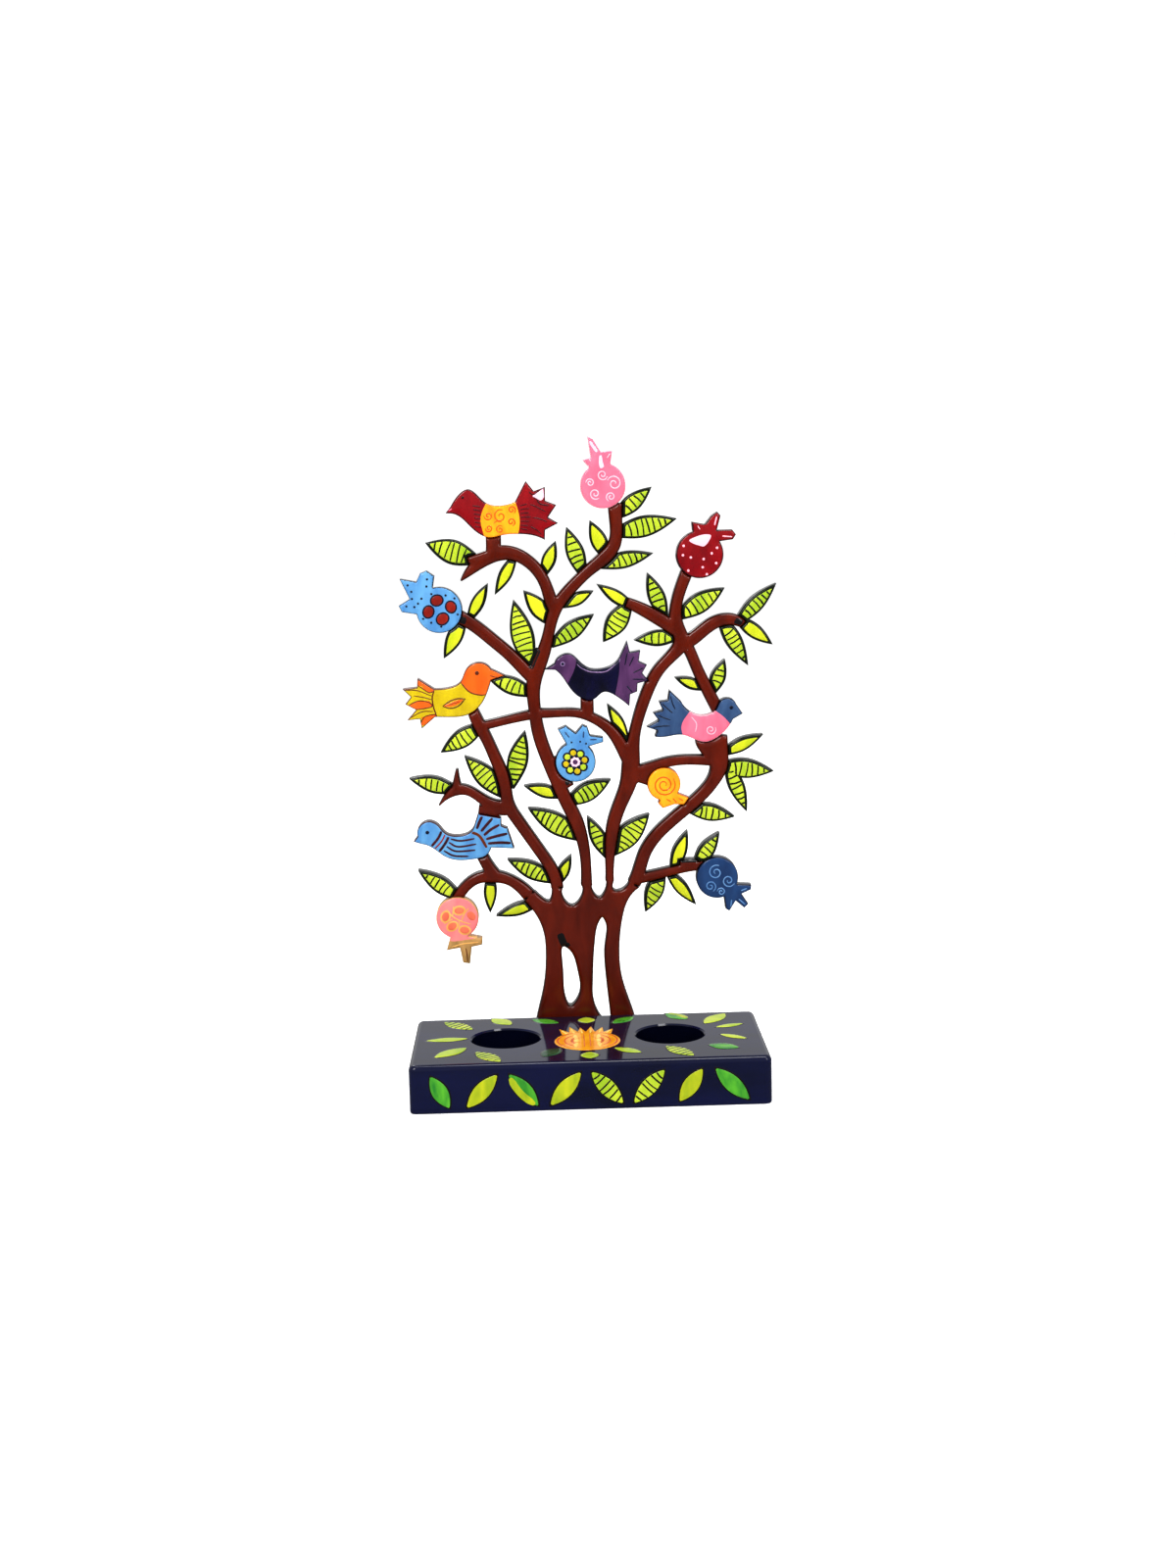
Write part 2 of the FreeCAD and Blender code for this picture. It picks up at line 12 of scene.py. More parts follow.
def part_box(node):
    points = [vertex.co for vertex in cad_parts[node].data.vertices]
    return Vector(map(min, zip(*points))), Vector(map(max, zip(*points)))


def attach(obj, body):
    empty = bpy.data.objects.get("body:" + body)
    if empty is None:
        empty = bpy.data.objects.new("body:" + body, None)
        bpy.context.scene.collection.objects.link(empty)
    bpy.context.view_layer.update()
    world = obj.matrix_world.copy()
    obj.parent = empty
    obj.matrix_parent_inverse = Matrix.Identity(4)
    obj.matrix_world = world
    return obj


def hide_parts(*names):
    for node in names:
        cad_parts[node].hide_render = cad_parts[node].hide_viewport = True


# Looks of the painted pomegranate tree candle holder.  Outlines are worked in millimetres and
# turned into metres when a mesh is made.  Every fretwork piece is rebuilt from the outline of its
# CAD node with softened edges, and the decoration is raised enamel on both faces.

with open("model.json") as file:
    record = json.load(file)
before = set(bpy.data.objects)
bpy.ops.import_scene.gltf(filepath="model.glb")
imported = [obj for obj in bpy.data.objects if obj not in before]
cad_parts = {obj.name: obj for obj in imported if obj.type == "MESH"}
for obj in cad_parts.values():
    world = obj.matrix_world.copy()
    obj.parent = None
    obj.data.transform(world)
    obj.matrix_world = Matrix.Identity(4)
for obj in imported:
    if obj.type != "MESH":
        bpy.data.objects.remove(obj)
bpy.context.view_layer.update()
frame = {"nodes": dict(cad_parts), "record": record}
random.seed(11)
MM = 0.001

NODES = frame["nodes"]
BRANCHES = [name for name in NODES if name == "trunk" or name.startswith(("bough", "rung"))]
LEAF_NODES = [name for name in NODES if name.startswith("leaves")]
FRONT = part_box("trunk")[0].y / MM
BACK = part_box("trunk")[1].y / MM
BLOCK_LOW, BLOCK_HIGH = (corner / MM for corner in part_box("base_block"))

EDGE = 1.4            # rounding of a branch's edge
THIN_EDGE = 0.8       # rounding of a leaf's, bird's or fruit's edge
CROWN = 0.16          # how much lower the enamel is at the outline than on the flat
CROWN_REACH = 3.2     # how far from the outline the enamel reaches its full thickness
STEP = 0.7            # longest edge of an outline
RINGS = (0.1, 0.3, 0.6, 1.0, 1.5, 2.2)      # depths of the rings of points inside an outline
GRID = (1.4, 1.3)     # spacing of the points on the flat
LINE_STEP = 0.35      # longest edge of a brush line
BACK_HOLE = 2.6       # depth of the walls of a hole that only the back has
LEAF_MARGIN = 0.92    # black margin round a leaf's paint
STRIPE_GAP = 2.2      # distance between a leaf's stripes


# ---- outlines of the CAD nodes

def patches(mesh_faces, plane):
    """The flat areas on a plane of constant y, each as closed loops of (x, z) in mm."""
    left = {f for f in mesh_faces if all(abs(v.co.y / MM - plane) < 0.01 for v in f.verts)}
    found = []
    while left:
        start = min(left, key=lambda f: f.index)
        left.discard(start)
        patch, todo = {start}, [start]
        while todo:
            for edge in todo.pop().edges:
                for other in edge.link_faces:
                    if other in left:
                        left.discard(other)
                        patch.add(other)
                        todo.append(other)
        found.append(rims(patch))
    return found


def rims(patch):
    """Loops of (x, z) in mm round a set of faces, the outer one first."""
    ways = {}
    for edge in {e for f in patch for e in f.edges if sum(g in patch for g in e.link_faces) == 1}:
        a, b = edge.verts
        ways.setdefault(a, []).append(b)
        ways.setdefault(b, []).append(a)
    loops = []
    left = set(ways)
    while left:
        start = min(left, key=lambda v: v.index)
        loop = [start]
        left.discard(start)
        step = next((v for v in sorted(ways[start], key=lambda v: v.index) if v in left), None)
        while step is not None:
            loop.append(step)
            left.discard(step)
            step = next((v for v in ways[step] if v in left), None)
        if len(loop) > 2:
            loops.append(np.array([(v.co.x / MM, v.co.z / MM) for v in loop]))
    return sorted(loops, key=lambda loop: -abs(area(loop)))


def area(loop):
    """The signed area inside a loop: positive when it runs anticlockwise."""
    x, z = loop[:, 0], loop[:, 1]
    return 0.5 * float(np.sum(x * np.roll(z, -1) - z * np.roll(x, -1)))


def even(loop, longest, hole):
    """The loop with long edges divided, turned so that the material is on its left."""
    if (area(loop) < 0) != hole:
        loop = loop[::-1]
    points = []
    for a, b in zip(loop, np.roll(loop, -1, axis=0)):
        parts = max(1, math.ceil(np.hypot(*(b - a)) / longest))
        points += [a + (b - a) * k / parts for k in range(parts)]
    points = np.array(points)
    gap = np.hypot(*(points - np.roll(points, 1, axis=0)).T)
    return points[gap > 0.06]


def segments(loops):
    """Every edge of the loops, as a row of start and end."""
    return np.concatenate([np.hstack([loop, np.roll(loop, -1, axis=0)]) for loop in loops])


def distance(points, lines):
    """Each point's distance to the nearest of the line segments."""
    points = np.asarray(points, float).reshape(-1, 2)
    out = np.full(len(points), 1e9)
    start, way = lines[:, :2], lines[:, 2:] - lines[:, :2]
    size = np.maximum((way ** 2).sum(1), 1e-9)
    for first in range(0, len(points), 400):
        p = points[first:first + 400, None, :] - start[None]
        t = np.clip((p * way[None]).sum(2) / size, 0, 1)
        gap = p - t[:, :, None] * way[None]
        out[first:first + 400] = np.sqrt((gap ** 2).sum(2).min(1))
    return out


def inside(points, loops):
    """Even-odd test of points against all the loops."""
    points = np.asarray(points, float).reshape(-1, 2)
    lines = segments(loops)
    x0, z0, x1, z1 = lines.T
    px, pz = points[:, 0:1], points[:, 1:2]
    crosses = (z0 > pz) != (z1 > pz)
    with np.errstate(divide="ignore", invalid="ignore"):
        at = x0 + (pz - z0) * (x1 - x0) / (z1 - z0)
    return (np.count_nonzero(crosses & (px < at), axis=1) % 2) == 1


def inward(loop):
    """Unit normals at the loop's points, towards the material."""
    way = np.roll(loop, -1, axis=0) - np.roll(loop, 1, axis=0)
    normal = np.stack([-way[:, 1], way[:, 0]], 1)
    return normal / np.maximum(np.hypot(*normal.T)[:, None], 1e-9)


def inset(loop, margins):
    """The loop moved inward by a margin at each point, without the points that crowd each other."""
    margins = np.broadcast_to(margins, len(loop))
    moved = loop + inward(loop) * margins[:, None]
    kept = distance(moved, segments([loop])) > margins * 0.96
    kept &= inside(moved, [loop])
    return moved[kept]


def rounding(depth, radius):
    """How far the rounded edge and the slight crown lie below the face at a distance from the outline."""
    depth = np.asarray(depth, float)
    t = np.clip(depth / radius, 0, 1)
    crown = np.clip(1 - depth / CROWN_REACH, 0, 1) ** 2 * CROWN
    return radius * (1 - np.sqrt(np.maximum(0, 1 - (1 - t) ** 2))) + crown


# ---- mesh building

class Shape:
    """Vertices in mm and faces with a material number, gathered for one object."""

    def __init__(self):
        self.verts, self.faces, self.paint = [], [], []

    def add(self, verts, faces, paint):
        base = len(self.verts)
        self.verts += [tuple(v) for v in verts]
        self.faces += [tuple(base + i for i in face) for face in faces]
        self.paint += list(paint) if isinstance(paint, (list, tuple)) else [paint] * len(faces)

    def make(self, name, materials):
        mesh = bpy.data.meshes.new(name)
        mesh.from_pydata([Vector(v) * MM for v in self.verts], [], self.faces)
        for material in materials:
            mesh.materials.append(material)
        mesh.polygons.foreach_set("material_index", self.paint)
        mesh.polygons.foreach_set("use_smooth", [True] * len(self.faces))
        work = bmesh.new()
        work.from_mesh(mesh)
        bmesh.ops.recalc_face_normals(work, faces=work.faces)
        work.to_mesh(mesh)
        work.free()
        mesh.validate()
        obj = bpy.data.objects.new(name, mesh)
        bpy.context.collection.objects.link(obj)
        return obj


class Cutout:
    """One solid of a fretwork node: its outline, its edge rounding and its two faces."""

    def __init__(self, front, back, radius):
        self.loops = [even(loop, STEP, k > 0) for k, loop in enumerate(front)]
        self.extra = [even(loop, STEP, True) for loop in back if not any(
            abs(abs(area(loop)) - abs(area(other))) < 0.02 * abs(area(other)) for other in front)]
        self.own = segments(self.loops)
        self.rim = self.own
        self.radius = radius

    def drop(self, points):
        return rounding(distance(points, self.rim), self.radius)

    def face(self, loops, rim, cuts):
        """A triangulated face: points, triangles, the outline's point numbers, and rim distances."""
        outline = np.concatenate(loops)
        own = segments(loops)
        extra = []
        for loop in loops:
            normal = inward(loop)
            for depth in RINGS:
                ring = loop + normal * depth
                extra.append(ring[distance(ring, own) > depth * 0.97])
        low, high = outline.min(0), outline.max(0)
        rows = enumerate(np.arange(low[1], high[1], GRID[1]))
        grid = np.array([(x + (k % 2) * GRID[0] / 2, z) for k, z in rows
                         for x in np.arange(low[0], high[0], GRID[0])])
        extra.append(grid[distance(grid, own) > RINGS[-1] + 0.5])
        edges = []
        first = 0
        for loop in loops:
            count = len(loop)
            edges += [(first + k, first + (k + 1) % count) for k in range(count)]
            first += count
        extra = np.concatenate(extra)
        extra = extra[inside(extra, loops)]
        if cuts:
            lines = np.concatenate([np.hstack([cut[:-1], cut[1:]]) for cut in cuts])
            extra = extra[distance(extra, lines) > 0.12]
        points = list(outline)
        for cut in cuts:
            cut = cut[inside(cut, loops)]
            cut = cut[distance(cut, own) > 0.03]
            edges += [(len(points) + k, len(points) + k + 1) for k in range(len(cut) - 1)]
            points += list(cut)
        points += list(extra)
        found, _, faces, sources, _, _ = delaunay_2d_cdt(
            [Vector(p) for p in points], edges, [], 0, 1e-4)
        found = np.array([(v.x, v.y) for v in found])
        number = {k: new for new, olds in enumerate(sources) for k in olds}
        faces = np.array([tuple(f) for f in faces])
        middle = found[faces].mean(1)
        faces = faces[inside(middle, loops)]
        return found, faces, [number.get(k) for k in range(len(outline))], distance(found, rim)

    def build(self, shape, zones, cuts=()):
        """Front, back and walls.  zones(points, depth) gives a material number for each point."""
        sides = []
        for plane, way, loops in ((FRONT, 1, self.loops), (BACK, -1, self.loops + self.extra)):
            rim = self.rim
            if way < 0 and self.extra:
                rim = np.concatenate([self.rim, segments(self.extra)])
            found, faces, rim_points, depth = self.face(loops, rim, list(cuts))
            y = plane + way * rounding(depth, self.radius)
            middle = found[faces].mean(1)
            paint = zones(middle, distance(middle, self.own))
            base = len(shape.verts)
            shape.add(np.stack([found[:, 0], y, found[:, 1]], 1), faces, [int(p) for p in paint])
            sides.append([None if k is None else base + k for k in rim_points])
        first = 0
        for loop in self.loops:
            count = len(loop)
            walls = zones(loop, np.zeros(count))
            for k in range(count):
                j = first + (k + 1) % count
                k += first
                corners = (sides[0][k], sides[0][j], sides[1][j], sides[1][k])
                if None not in corners:
                    shape.faces.append(corners)
                    shape.paint.append(int(walls[k - first]))
            first += count
        for loop in self.extra:
            count = len(loop)
            deep = len(shape.verts)
            shape.verts += [(x, BACK - BACK_HOLE, z) for x, z in loop]
            for k in range(count):
                j = (k + 1) % count
                shape.faces.append((sides[1][first + k], sides[1][first + j], deep + j, deep + k))
                shape.paint.append(0)
            first += count

    def lay(self, plane):
        """A function that puts (x, z) points on this face, at a height above its paint."""
        way = -1 if plane == FRONT else 1

        def place(points, height):
            points = np.asarray(points, float).reshape(-1, 2)
            y = plane - way * self.drop(points) + way * np.asarray(height, float)
            return np.stack([points[:, 0], y, points[:, 1]], 1)
        return place


def cutouts(node, radius):
    """The solids of a CAD node as cutouts, from left to right."""
    work = bmesh.new()
    work.from_mesh(NODES[node].data)
    bmesh.ops.remove_doubles(work, verts=work.verts, dist=2e-6)
    work.verts.index_update()
    work.faces.index_update()
    fronts, backs = patches(work.faces, FRONT), patches(work.faces, BACK)
    work.free()
    middle = lambda loops: loops[0].min(0) + loops[0].max(0)
    found = [Cutout(front, min(backs, key=lambda back: np.hypot(*(middle(back) - middle(front)))), radius)
             for front in fronts]
    return sorted(found, key=lambda piece: tuple(piece.loops[0].mean(0)))


# ---- raised paint

def bend(a, b, c, d, t):
    """A point of the Catmull-Rom curve from b to c."""
    square = 2 * a - 5 * b + 4 * c - d
    cube = 3 * b - a - 3 * c + d
    return 0.5 * (2 * b + (c - a) * t + square * t ** 2 + cube * t ** 3)


def smooth(points, spacing=LINE_STEP):
    """A smooth line through the points, evenly divided."""
    points = np.asarray(points, float)
    ends = np.vstack([2 * points[0] - points[1], points, 2 * points[-1] - points[-2]])
    line = []
    for a, b, c, d in zip(ends, ends[1:], ends[2:], ends[3:]):
        parts = max(2, math.ceil(np.hypot(*(c - b)) / spacing))
        line += [bend(a, b, c, d, t) for t in np.arange(parts) / parts]
    return np.array(line + [points[-1]])


def closed(points, spacing=LINE_STEP):
    """A smooth closed loop through the points."""
    points = np.asarray(points, float)
    line = []
    for a, b, c, d in zip(np.roll(points, 1, 0), points, np.roll(points, -1, 0), np.roll(points, -2, 0)):
        parts = max(2, math.ceil(np.hypot(*(c - b)) / spacing))
        line += [bend(a, b, c, d, t) for t in np.arange(parts) / parts]
    return np.array(line)


def lifted(lay, rise):
    """The same face, with its paint laid higher."""
    return lambda points, height: lay(points, np.asarray(height) + rise)


def stroke(shape, lay, points, width, paint, height=0.1, tip=0.35):
    """A brush stroke: a raised line with a rounded section and thinning ends."""
    line = smooth(points)
    way = np.gradient(line, axis=0)
    way /= np.maximum(np.hypot(*way.T)[:, None], 1e-9)
    side = np.stack([-way[:, 1], way[:, 0]], 1)
    along = np.linspace(0, 1, len(line))
    ends = np.minimum(1, np.sqrt(np.clip(np.minimum(along, 1 - along) * 6, 0, 1)) * (1 - tip) + tip)
    half = width / 2 * ends
    rows = []
    for across, rise in ((-1, -0.3), (-0.62, 0.75), (0, 1), (0.62, 0.75), (1, -0.3)):
        rows.append(lay(line + side * (half * across)[:, None], height * rise * ends))
    verts = np.concatenate(rows)
    count = len(line)
    faces = [(r * count + k, r * count + k + 1, (r + 1) * count + k + 1, (r + 1) * count + k)
             for r in range(4) for k in range(count - 1)]
    shape.add(verts, faces, paint)


def dot(shape, lay, centre, radius, paint, height=0.12, squeeze=1.0, turn=0.0):
    """A drop of paint."""
    angles = np.arange(16) * math.tau / 16
    ring = np.stack([np.cos(angles), np.sin(angles) * squeeze], 1)
    c, s = math.cos(turn), math.sin(turn)
    ring = ring @ np.array([(c, s), (-s, c)])
    rows = [lay(np.asarray(centre) + ring * radius * size, height * rise)
            for size, rise in ((1, -0.3), (0.86, 0.5), (0.5, 0.9))]
    verts = np.concatenate(rows + [lay([centre], height)])
    faces = [(r * 16 + k, r * 16 + (k + 1) % 16, (r + 1) * 16 + (k + 1) % 16, (r + 1) * 16 + k)
             for r in range(2) for k in range(16)]
    faces += [(32 + k, 32 + (k + 1) % 16, 48) for k in range(16)]
    shape.add(verts, faces, paint)


def field(shape, lay, loop, paint, height=0.12):
    """A filled area of thick paint with a rounded rim."""
    rows = [loop]
    rises = [np.full(len(loop), -0.3)]
    lines = segments([loop])
    normal = inward(loop)
    for depth, rise in ((0.12, 0.6), (0.34, 1)):
        ring = loop + normal * depth
        ring = ring[distance(ring, lines) > depth * 0.95]
        ring = ring[inside(ring, [loop])] if len(ring) else ring
        rows.append(ring)
        rises.append(np.full(len(ring), rise))
    low, high = loop.min(0), loop.max(0)
    grid = np.array([(x, z) for z in np.arange(low[1], high[1] + 1, 1.0)
                     for x in np.arange(low[0], high[0] + 1, 1.0)])
    grid = grid[(distance(grid, lines) > 0.7) & inside(grid, [loop])]
    rows.append(grid)
    rises.append(np.full(len(grid), 1.05))
    points = np.concatenate([row.reshape(-1, 2) for row in rows])
    count = len(loop)
    edges = [(k, (k + 1) % count) for k in range(count)]
    found, _, faces, sources, _, _ = delaunay_2d_cdt([Vector(p) for p in points], edges, [], 0, 1e-4)
    found = np.array([(v.x, v.y) for v in found])
    rise = np.concatenate(rises)
    rise = np.array([rise[min(olds)] if olds else 0 for olds in sources])
    faces = np.array([tuple(f) for f in faces])
    faces = faces[inside(found[faces].mean(1), [loop])]
    shape.add(lay(found, height * rise), faces, paint)


def spiral(centre, radius, turns=1.6, start=0.0, way=1):
    steps = np.linspace(0, 1, max(8, int(turns * 10)))
    angle = start + way * steps * turns * math.tau
    size = radius * (1 - 0.85 * steps)
    return np.stack([centre[0] + size * np.cos(angle), centre[1] + size * np.sin(angle)], 1)


def arc(centre, radius, start, end, squeeze=1.0):
    angle = np.radians(np.linspace(start, end, 9))
    return np.stack([centre[0] + radius * np.cos(angle), centre[1] + radius * squeeze * np.sin(angle)], 1)


# ---- materials

def rgb(red, green, blue):
    """A screen colour as the linear values that shaders use."""
    parts = [v / 255 for v in (red, green, blue)]
    return tuple(v / 12.92 if v <= 0.04045 else ((v + 0.055) / 1.055) ** 2.4 for v in parts) + (1.0,)


def level(tree, source, first, last, low=0.0, high=1.0):
    """The source's range from low to high, stretched to run from first to last."""
    node = tree.nodes.new("ShaderNodeMapRange")
    for socket, value in (("From Min", low), ("From Max", high), ("To Min", first), ("To Max", last)):
        node.inputs[socket].default_value = value
    tree.links.new(source, node.inputs["Value"])
    return node.outputs["Result"]


def mixed(tree, factor, first, second):
    """Two colours mixed; each is a value or a socket."""
    node = tree.nodes.new("ShaderNodeMix")
    node.data_type = "RGBA"
    tree.links.new(factor, node.inputs["Factor"])
    for socket, value in (("A", first), ("B", second)):
        if isinstance(value, tuple):
            node.inputs[socket].default_value = value
        else:
            tree.links.new(value, node.inputs[socket])
    return node.outputs["Result"]


def maths(tree, operation, source, value=None):
    """A vector operation on a socket, with a fixed second vector if it takes one."""
    node = tree.nodes.new("ShaderNodeVectorMath")
    node.operation = operation
    tree.links.new(source, node.inputs[0])
    if value is not None:
        node.inputs[1].default_value = value
    return node.outputs["Value" if operation == "LENGTH" else "Vector"]


def enamel(name, light, dark, patch=260.0, streak=(1.0, 1.0, 0.35), rough=(0.14, 0.26), bump=0.08,
           edge=None):
    """Glossy hand-brushed paint: two tones in patches and brush streaks, with an uneven surface.

    An edge colour goes on the faces that look away from the front and the back.
    """
    material = bpy.data.materials.new(name)
    material.use_nodes = True
    tree = material.node_tree
    shader = tree.nodes["Principled BSDF"]
    shader.inputs["IOR"].default_value = 1.3
    shader.inputs["Coat Weight"].default_value = 0.6
    shader.inputs["Coat Roughness"].default_value = 0.08
    shader.inputs["Coat IOR"].default_value = 1.3
    place = tree.nodes.new("ShaderNodeTexCoord")
    stretch = tree.nodes.new("ShaderNodeMapping")
    stretch.inputs["Scale"].default_value = streak
    tree.links.new(place.outputs["Object"], stretch.inputs["Vector"])

    def noise(scale, detail, vector, twist=0.0):
        node = tree.nodes.new("ShaderNodeTexNoise")
        node.inputs["Scale"].default_value = scale
        node.inputs["Detail"].default_value = detail
        node.inputs["Distortion"].default_value = twist
        tree.links.new(vector, node.inputs["Vector"])
        return node.outputs["Fac"]

    blotches = noise(patch, 3, stretch.outputs["Vector"], 0.4)
    colour = mixed(tree, level(tree, blotches, 0, 1, 0.35, 0.68), rgb(*light), rgb(*dark))
    if edge:
        geometry = tree.nodes.new("ShaderNodeNewGeometry")
        split = tree.nodes.new("ShaderNodeSeparateXYZ")
        size = tree.nodes.new("ShaderNodeMath")
        size.operation = "ABSOLUTE"
        tree.links.new(geometry.outputs["Normal"], split.inputs["Vector"])
        tree.links.new(split.outputs["Y"], size.inputs[0])
        colour = mixed(tree, level(tree, size.outputs["Value"], 0, 1, 0.9, 0.35), colour, rgb(*edge))
    tree.links.new(colour, shader.inputs["Base Color"])
    fine = noise(patch * 4, 4, place.outputs["Object"])
    tree.links.new(level(tree, fine, *rough, 0.3, 0.7), shader.inputs["Roughness"])
    waves = noise(patch * 1.6, 2, stretch.outputs["Vector"], 0.6)
    relief = tree.nodes.new("ShaderNodeBump")
    relief.inputs["Strength"].default_value = bump
    relief.inputs["Distance"].default_value = 0.0004
    tree.links.new(waves, relief.inputs["Height"])
    tree.links.new(relief.outputs["Normal"], shader.inputs["Normal"])
    return material


def painted_bore_shade(tree, place, axis, radius, colour):
    """Painted shade: the colour turned nearly black within a bore's radius of its upright axis, for the
    shade in the deep hole.
    """
    shift = maths(tree, "SUBTRACT", place.outputs["Object"], axis)
    flat = maths(tree, "MULTIPLY", shift, (1, 1, 0))
    size = maths(tree, "LENGTH", flat)
    step = level(tree, size, 0, 1, (radius + 0.2) * MM, (radius - 0.1) * MM)
    return mixed(tree, step, colour, rgb(4, 5, 16))


def steel():
    material = enamel("drawn_steel", (190, 190, 192), (150, 150, 154), patch=900.0,
                      streak=(1, 0.1, 1), rough=(0.22, 0.38), bump=0.05)
    shader = material.node_tree.nodes["Principled BSDF"]
    shader.inputs["Metallic"].default_value = 1.0
    shader.inputs["Coat Weight"].default_value = 0.0
    return material


BROWN = enamel("branch_enamel", (98, 23, 1), (78, 15, 0), 160.0, edge=(30, 10, 6))
BLACK = enamel("black_green_line", (14, 26, 8), (8, 12, 6), 400.0)
JET = enamel("black_paint", (12, 10, 12), (24, 16, 18), 300.0)
LIME = enamel("lime_paint", (186, 200, 54), (142, 172, 36), 110.0)
YELLOW = enamel("yellow_green_paint", (204, 204, 38), (172, 184, 28), 110.0)
OLIVE = enamel("olive_yellow_paint", (178, 182, 28), (140, 158, 24), 240.0)
GREEN = enamel("green_paint", (88, 166, 46), (30, 116, 40), 240.0)
FOREST = enamel("forest_paint", (40, 84, 52), (28, 62, 44), 240.0)
CRIMSON = enamel("crimson_paint", (142, 9, 20), (114, 5, 16), 180.0)
MAROON = enamel("maroon_line", (66, 8, 16), (40, 6, 12), 300.0)
AMBER = enamel("amber_paint", (240, 170, 30), (230, 140, 22), 220.0)
GOLD = enamel("gold_paint", (234, 168, 34), (222, 140, 22), 220.0)
RUST = enamel("rust_line", (214, 100, 16), (186, 72, 10), 300.0)
ORANGE = enamel("orange_paint", (220, 104, 28), (208, 88, 19), 200.0)
SUN = enamel("yellow_paint", (198, 176, 18), (182, 158, 15), 200.0)
UMBER = enamel("umber_line", (112, 50, 20), (76, 32, 14), 300.0)
PLUM = enamel("plum_paint", (92, 56, 98), (66, 38, 76), 200.0)
MAUVE = enamel("mauve_line", (138, 112, 150), (110, 88, 128), 300.0)
INK = enamel("ink_paint", (12, 10, 48), (6, 6, 26), 180.0)
SLATE = enamel("slate_paint", (60, 86, 122), (40, 62, 98), 200.0)
DEEP = enamel("deep_blue_paint", (34, 66, 110), (25, 50, 90), 200.0)
NIGHT = enamel("night_line", (14, 22, 48), (8, 14, 32), 300.0)
ROSE = enamel("rose_paint", (230, 116, 140), (220, 100, 126), 200.0)
BLUSH = enamel("blush_line", (250, 186, 198), (246, 170, 186), 300.0)
SKY = enamel("sky_paint", (100, 156, 198), (76, 130, 182), 200.0)
COCOA = enamel("cocoa_line", (70, 24, 34), (46, 18, 28), 300.0)
CORAL = enamel("coral_paint", (234, 136, 134), (226, 116, 122), 200.0)
APRICOT = enamel("apricot_paint", (228, 124, 92), (212, 104, 78), 260.0)
STRAW = enamel("straw_line", (232, 180, 104), (214, 156, 84), 300.0)
TAN = enamel("tan_paint", (190, 148, 92), (150, 118, 70), 260.0)
CREAM = enamel("cream_paint", (246, 208, 104), (238, 188, 76), 260.0)
# Pale pink-white: real paint on the flower fruit's centre and the pink fruit's crown tip, and painted
# highlights on the red and pink fruits and the red bird's tail
PALE_PAINT_AND_HIGHLIGHT = enamel("pale_paint_and_painted_highlight", (232, 196, 212), (226, 184, 204), 260.0)
DENIM = enamel("denim_paint", (104, 144, 188), (78, 120, 168), 240.0)
BRICK = enamel("brick_paint", (150, 36, 18), (116, 22, 14), 240.0)
LACQUER = enamel("blue_lacquer", (13, 18, 54), (7, 11, 34), 60.0, (0.3, 1, 1), (0.06, 0.14), 0.03)
STEEL = steel()


# ---- fretwork pieces

def plain(number):
    """One material all over a piece."""
    return lambda points, depth: np.full(len(points), number)


def own_piece(node, shape, materials, slot):
    """The shape as the visible piece that stands for a CAD node."""
    obj = shape.make("painted_" + node, materials)
    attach(obj, "root")
    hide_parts(node)
    return obj


def slot_of(node):
    return next(s["material_slot"] for s in frame["record"]["subparts"] if s["node"] == node)


def branches():
    """Trunk, boughs and rungs: one continuous rounding across their joints."""
    pieces = {node: cutouts(node, EDGE) for node in BRANCHES}
    every = [loop for group in pieces.values() for piece in group for loop in piece.loops]
    for node, group in pieces.items():
        low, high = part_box(node)
        low, high = np.array((low.x, low.z)) / MM - 4, np.array((high.x, high.z)) / MM + 4
        near = [loop for loop in every if (loop.max(0) > low).all() and (loop.min(0) < high).all()]
        free = []
        for loop in near:
            lines = segments([loop])
            middle = (lines[:, :2] + lines[:, 2:]) / 2
            rest = [other for other in near if other is not loop]
            shared = distance(middle, segments(rest)) < 0.06 if rest else np.zeros(len(middle), bool)
            free.append(lines[~shared])
        for piece in group:
            piece.rim = np.concatenate(free)
            shape = Shape()
            piece.build(shape, plain(0))
            for points, width in BLOTS.get(node, ()):
                for plane in (FRONT, BACK):
                    stroke(shape, piece.lay(plane), points, width, 1, 0.08, 0.6)
            own_piece(node, shape, [BROWN, JET], slot_of(node))


# Black paint in the crotches and at leaf stalks: lines of (x, z) and a width, in mm
BLOTS = {
    "trunk": [([(-9.2, 49.4), (-8.4, 47.2), (-7.4, 44.4)], 3.0), ([(-6.8, 45.6), (-5.9, 44.2)], 2.0)],
    "bough_left_main": [([(-17.4, 150), (-16.2, 153.4), (-14.4, 157)], 2.4),
                        ([(-5.6, 106.6), (-3.6, 107.6)], 2.2)],
    "bough_right_east": [([(58.4, 166), (61, 164.8)], 3.0)],
    "bough_lower_right": [([(37, 75.8), (40, 75.9), (43.4, 75.9)], 1.2)],
    "bough_spotted_fruit": [([(-43, 168.6), (-40.8, 167.8)], 3.2)],
}


# Leaves without stripes, numbered from left to right in each node
PLAIN_LEAVES = {
    "leaves_red_bird": (1, 2, 3), "leaves_spotted_fruit": (0, 1), "leaves_pink_fruit": (2, 3),
    "leaves_right_west": (0,), "leaves_right_east": (1,), "leaves_navy_bird": (0,), "leaves_left_main": (1,),
    "leaves_left_inner": (5,), "leaves_lower_left": (1, 2), "leaves_right_main": (1,), "leaves_outer": (2,),
    "leaves_lower_right": (1, 2),
}


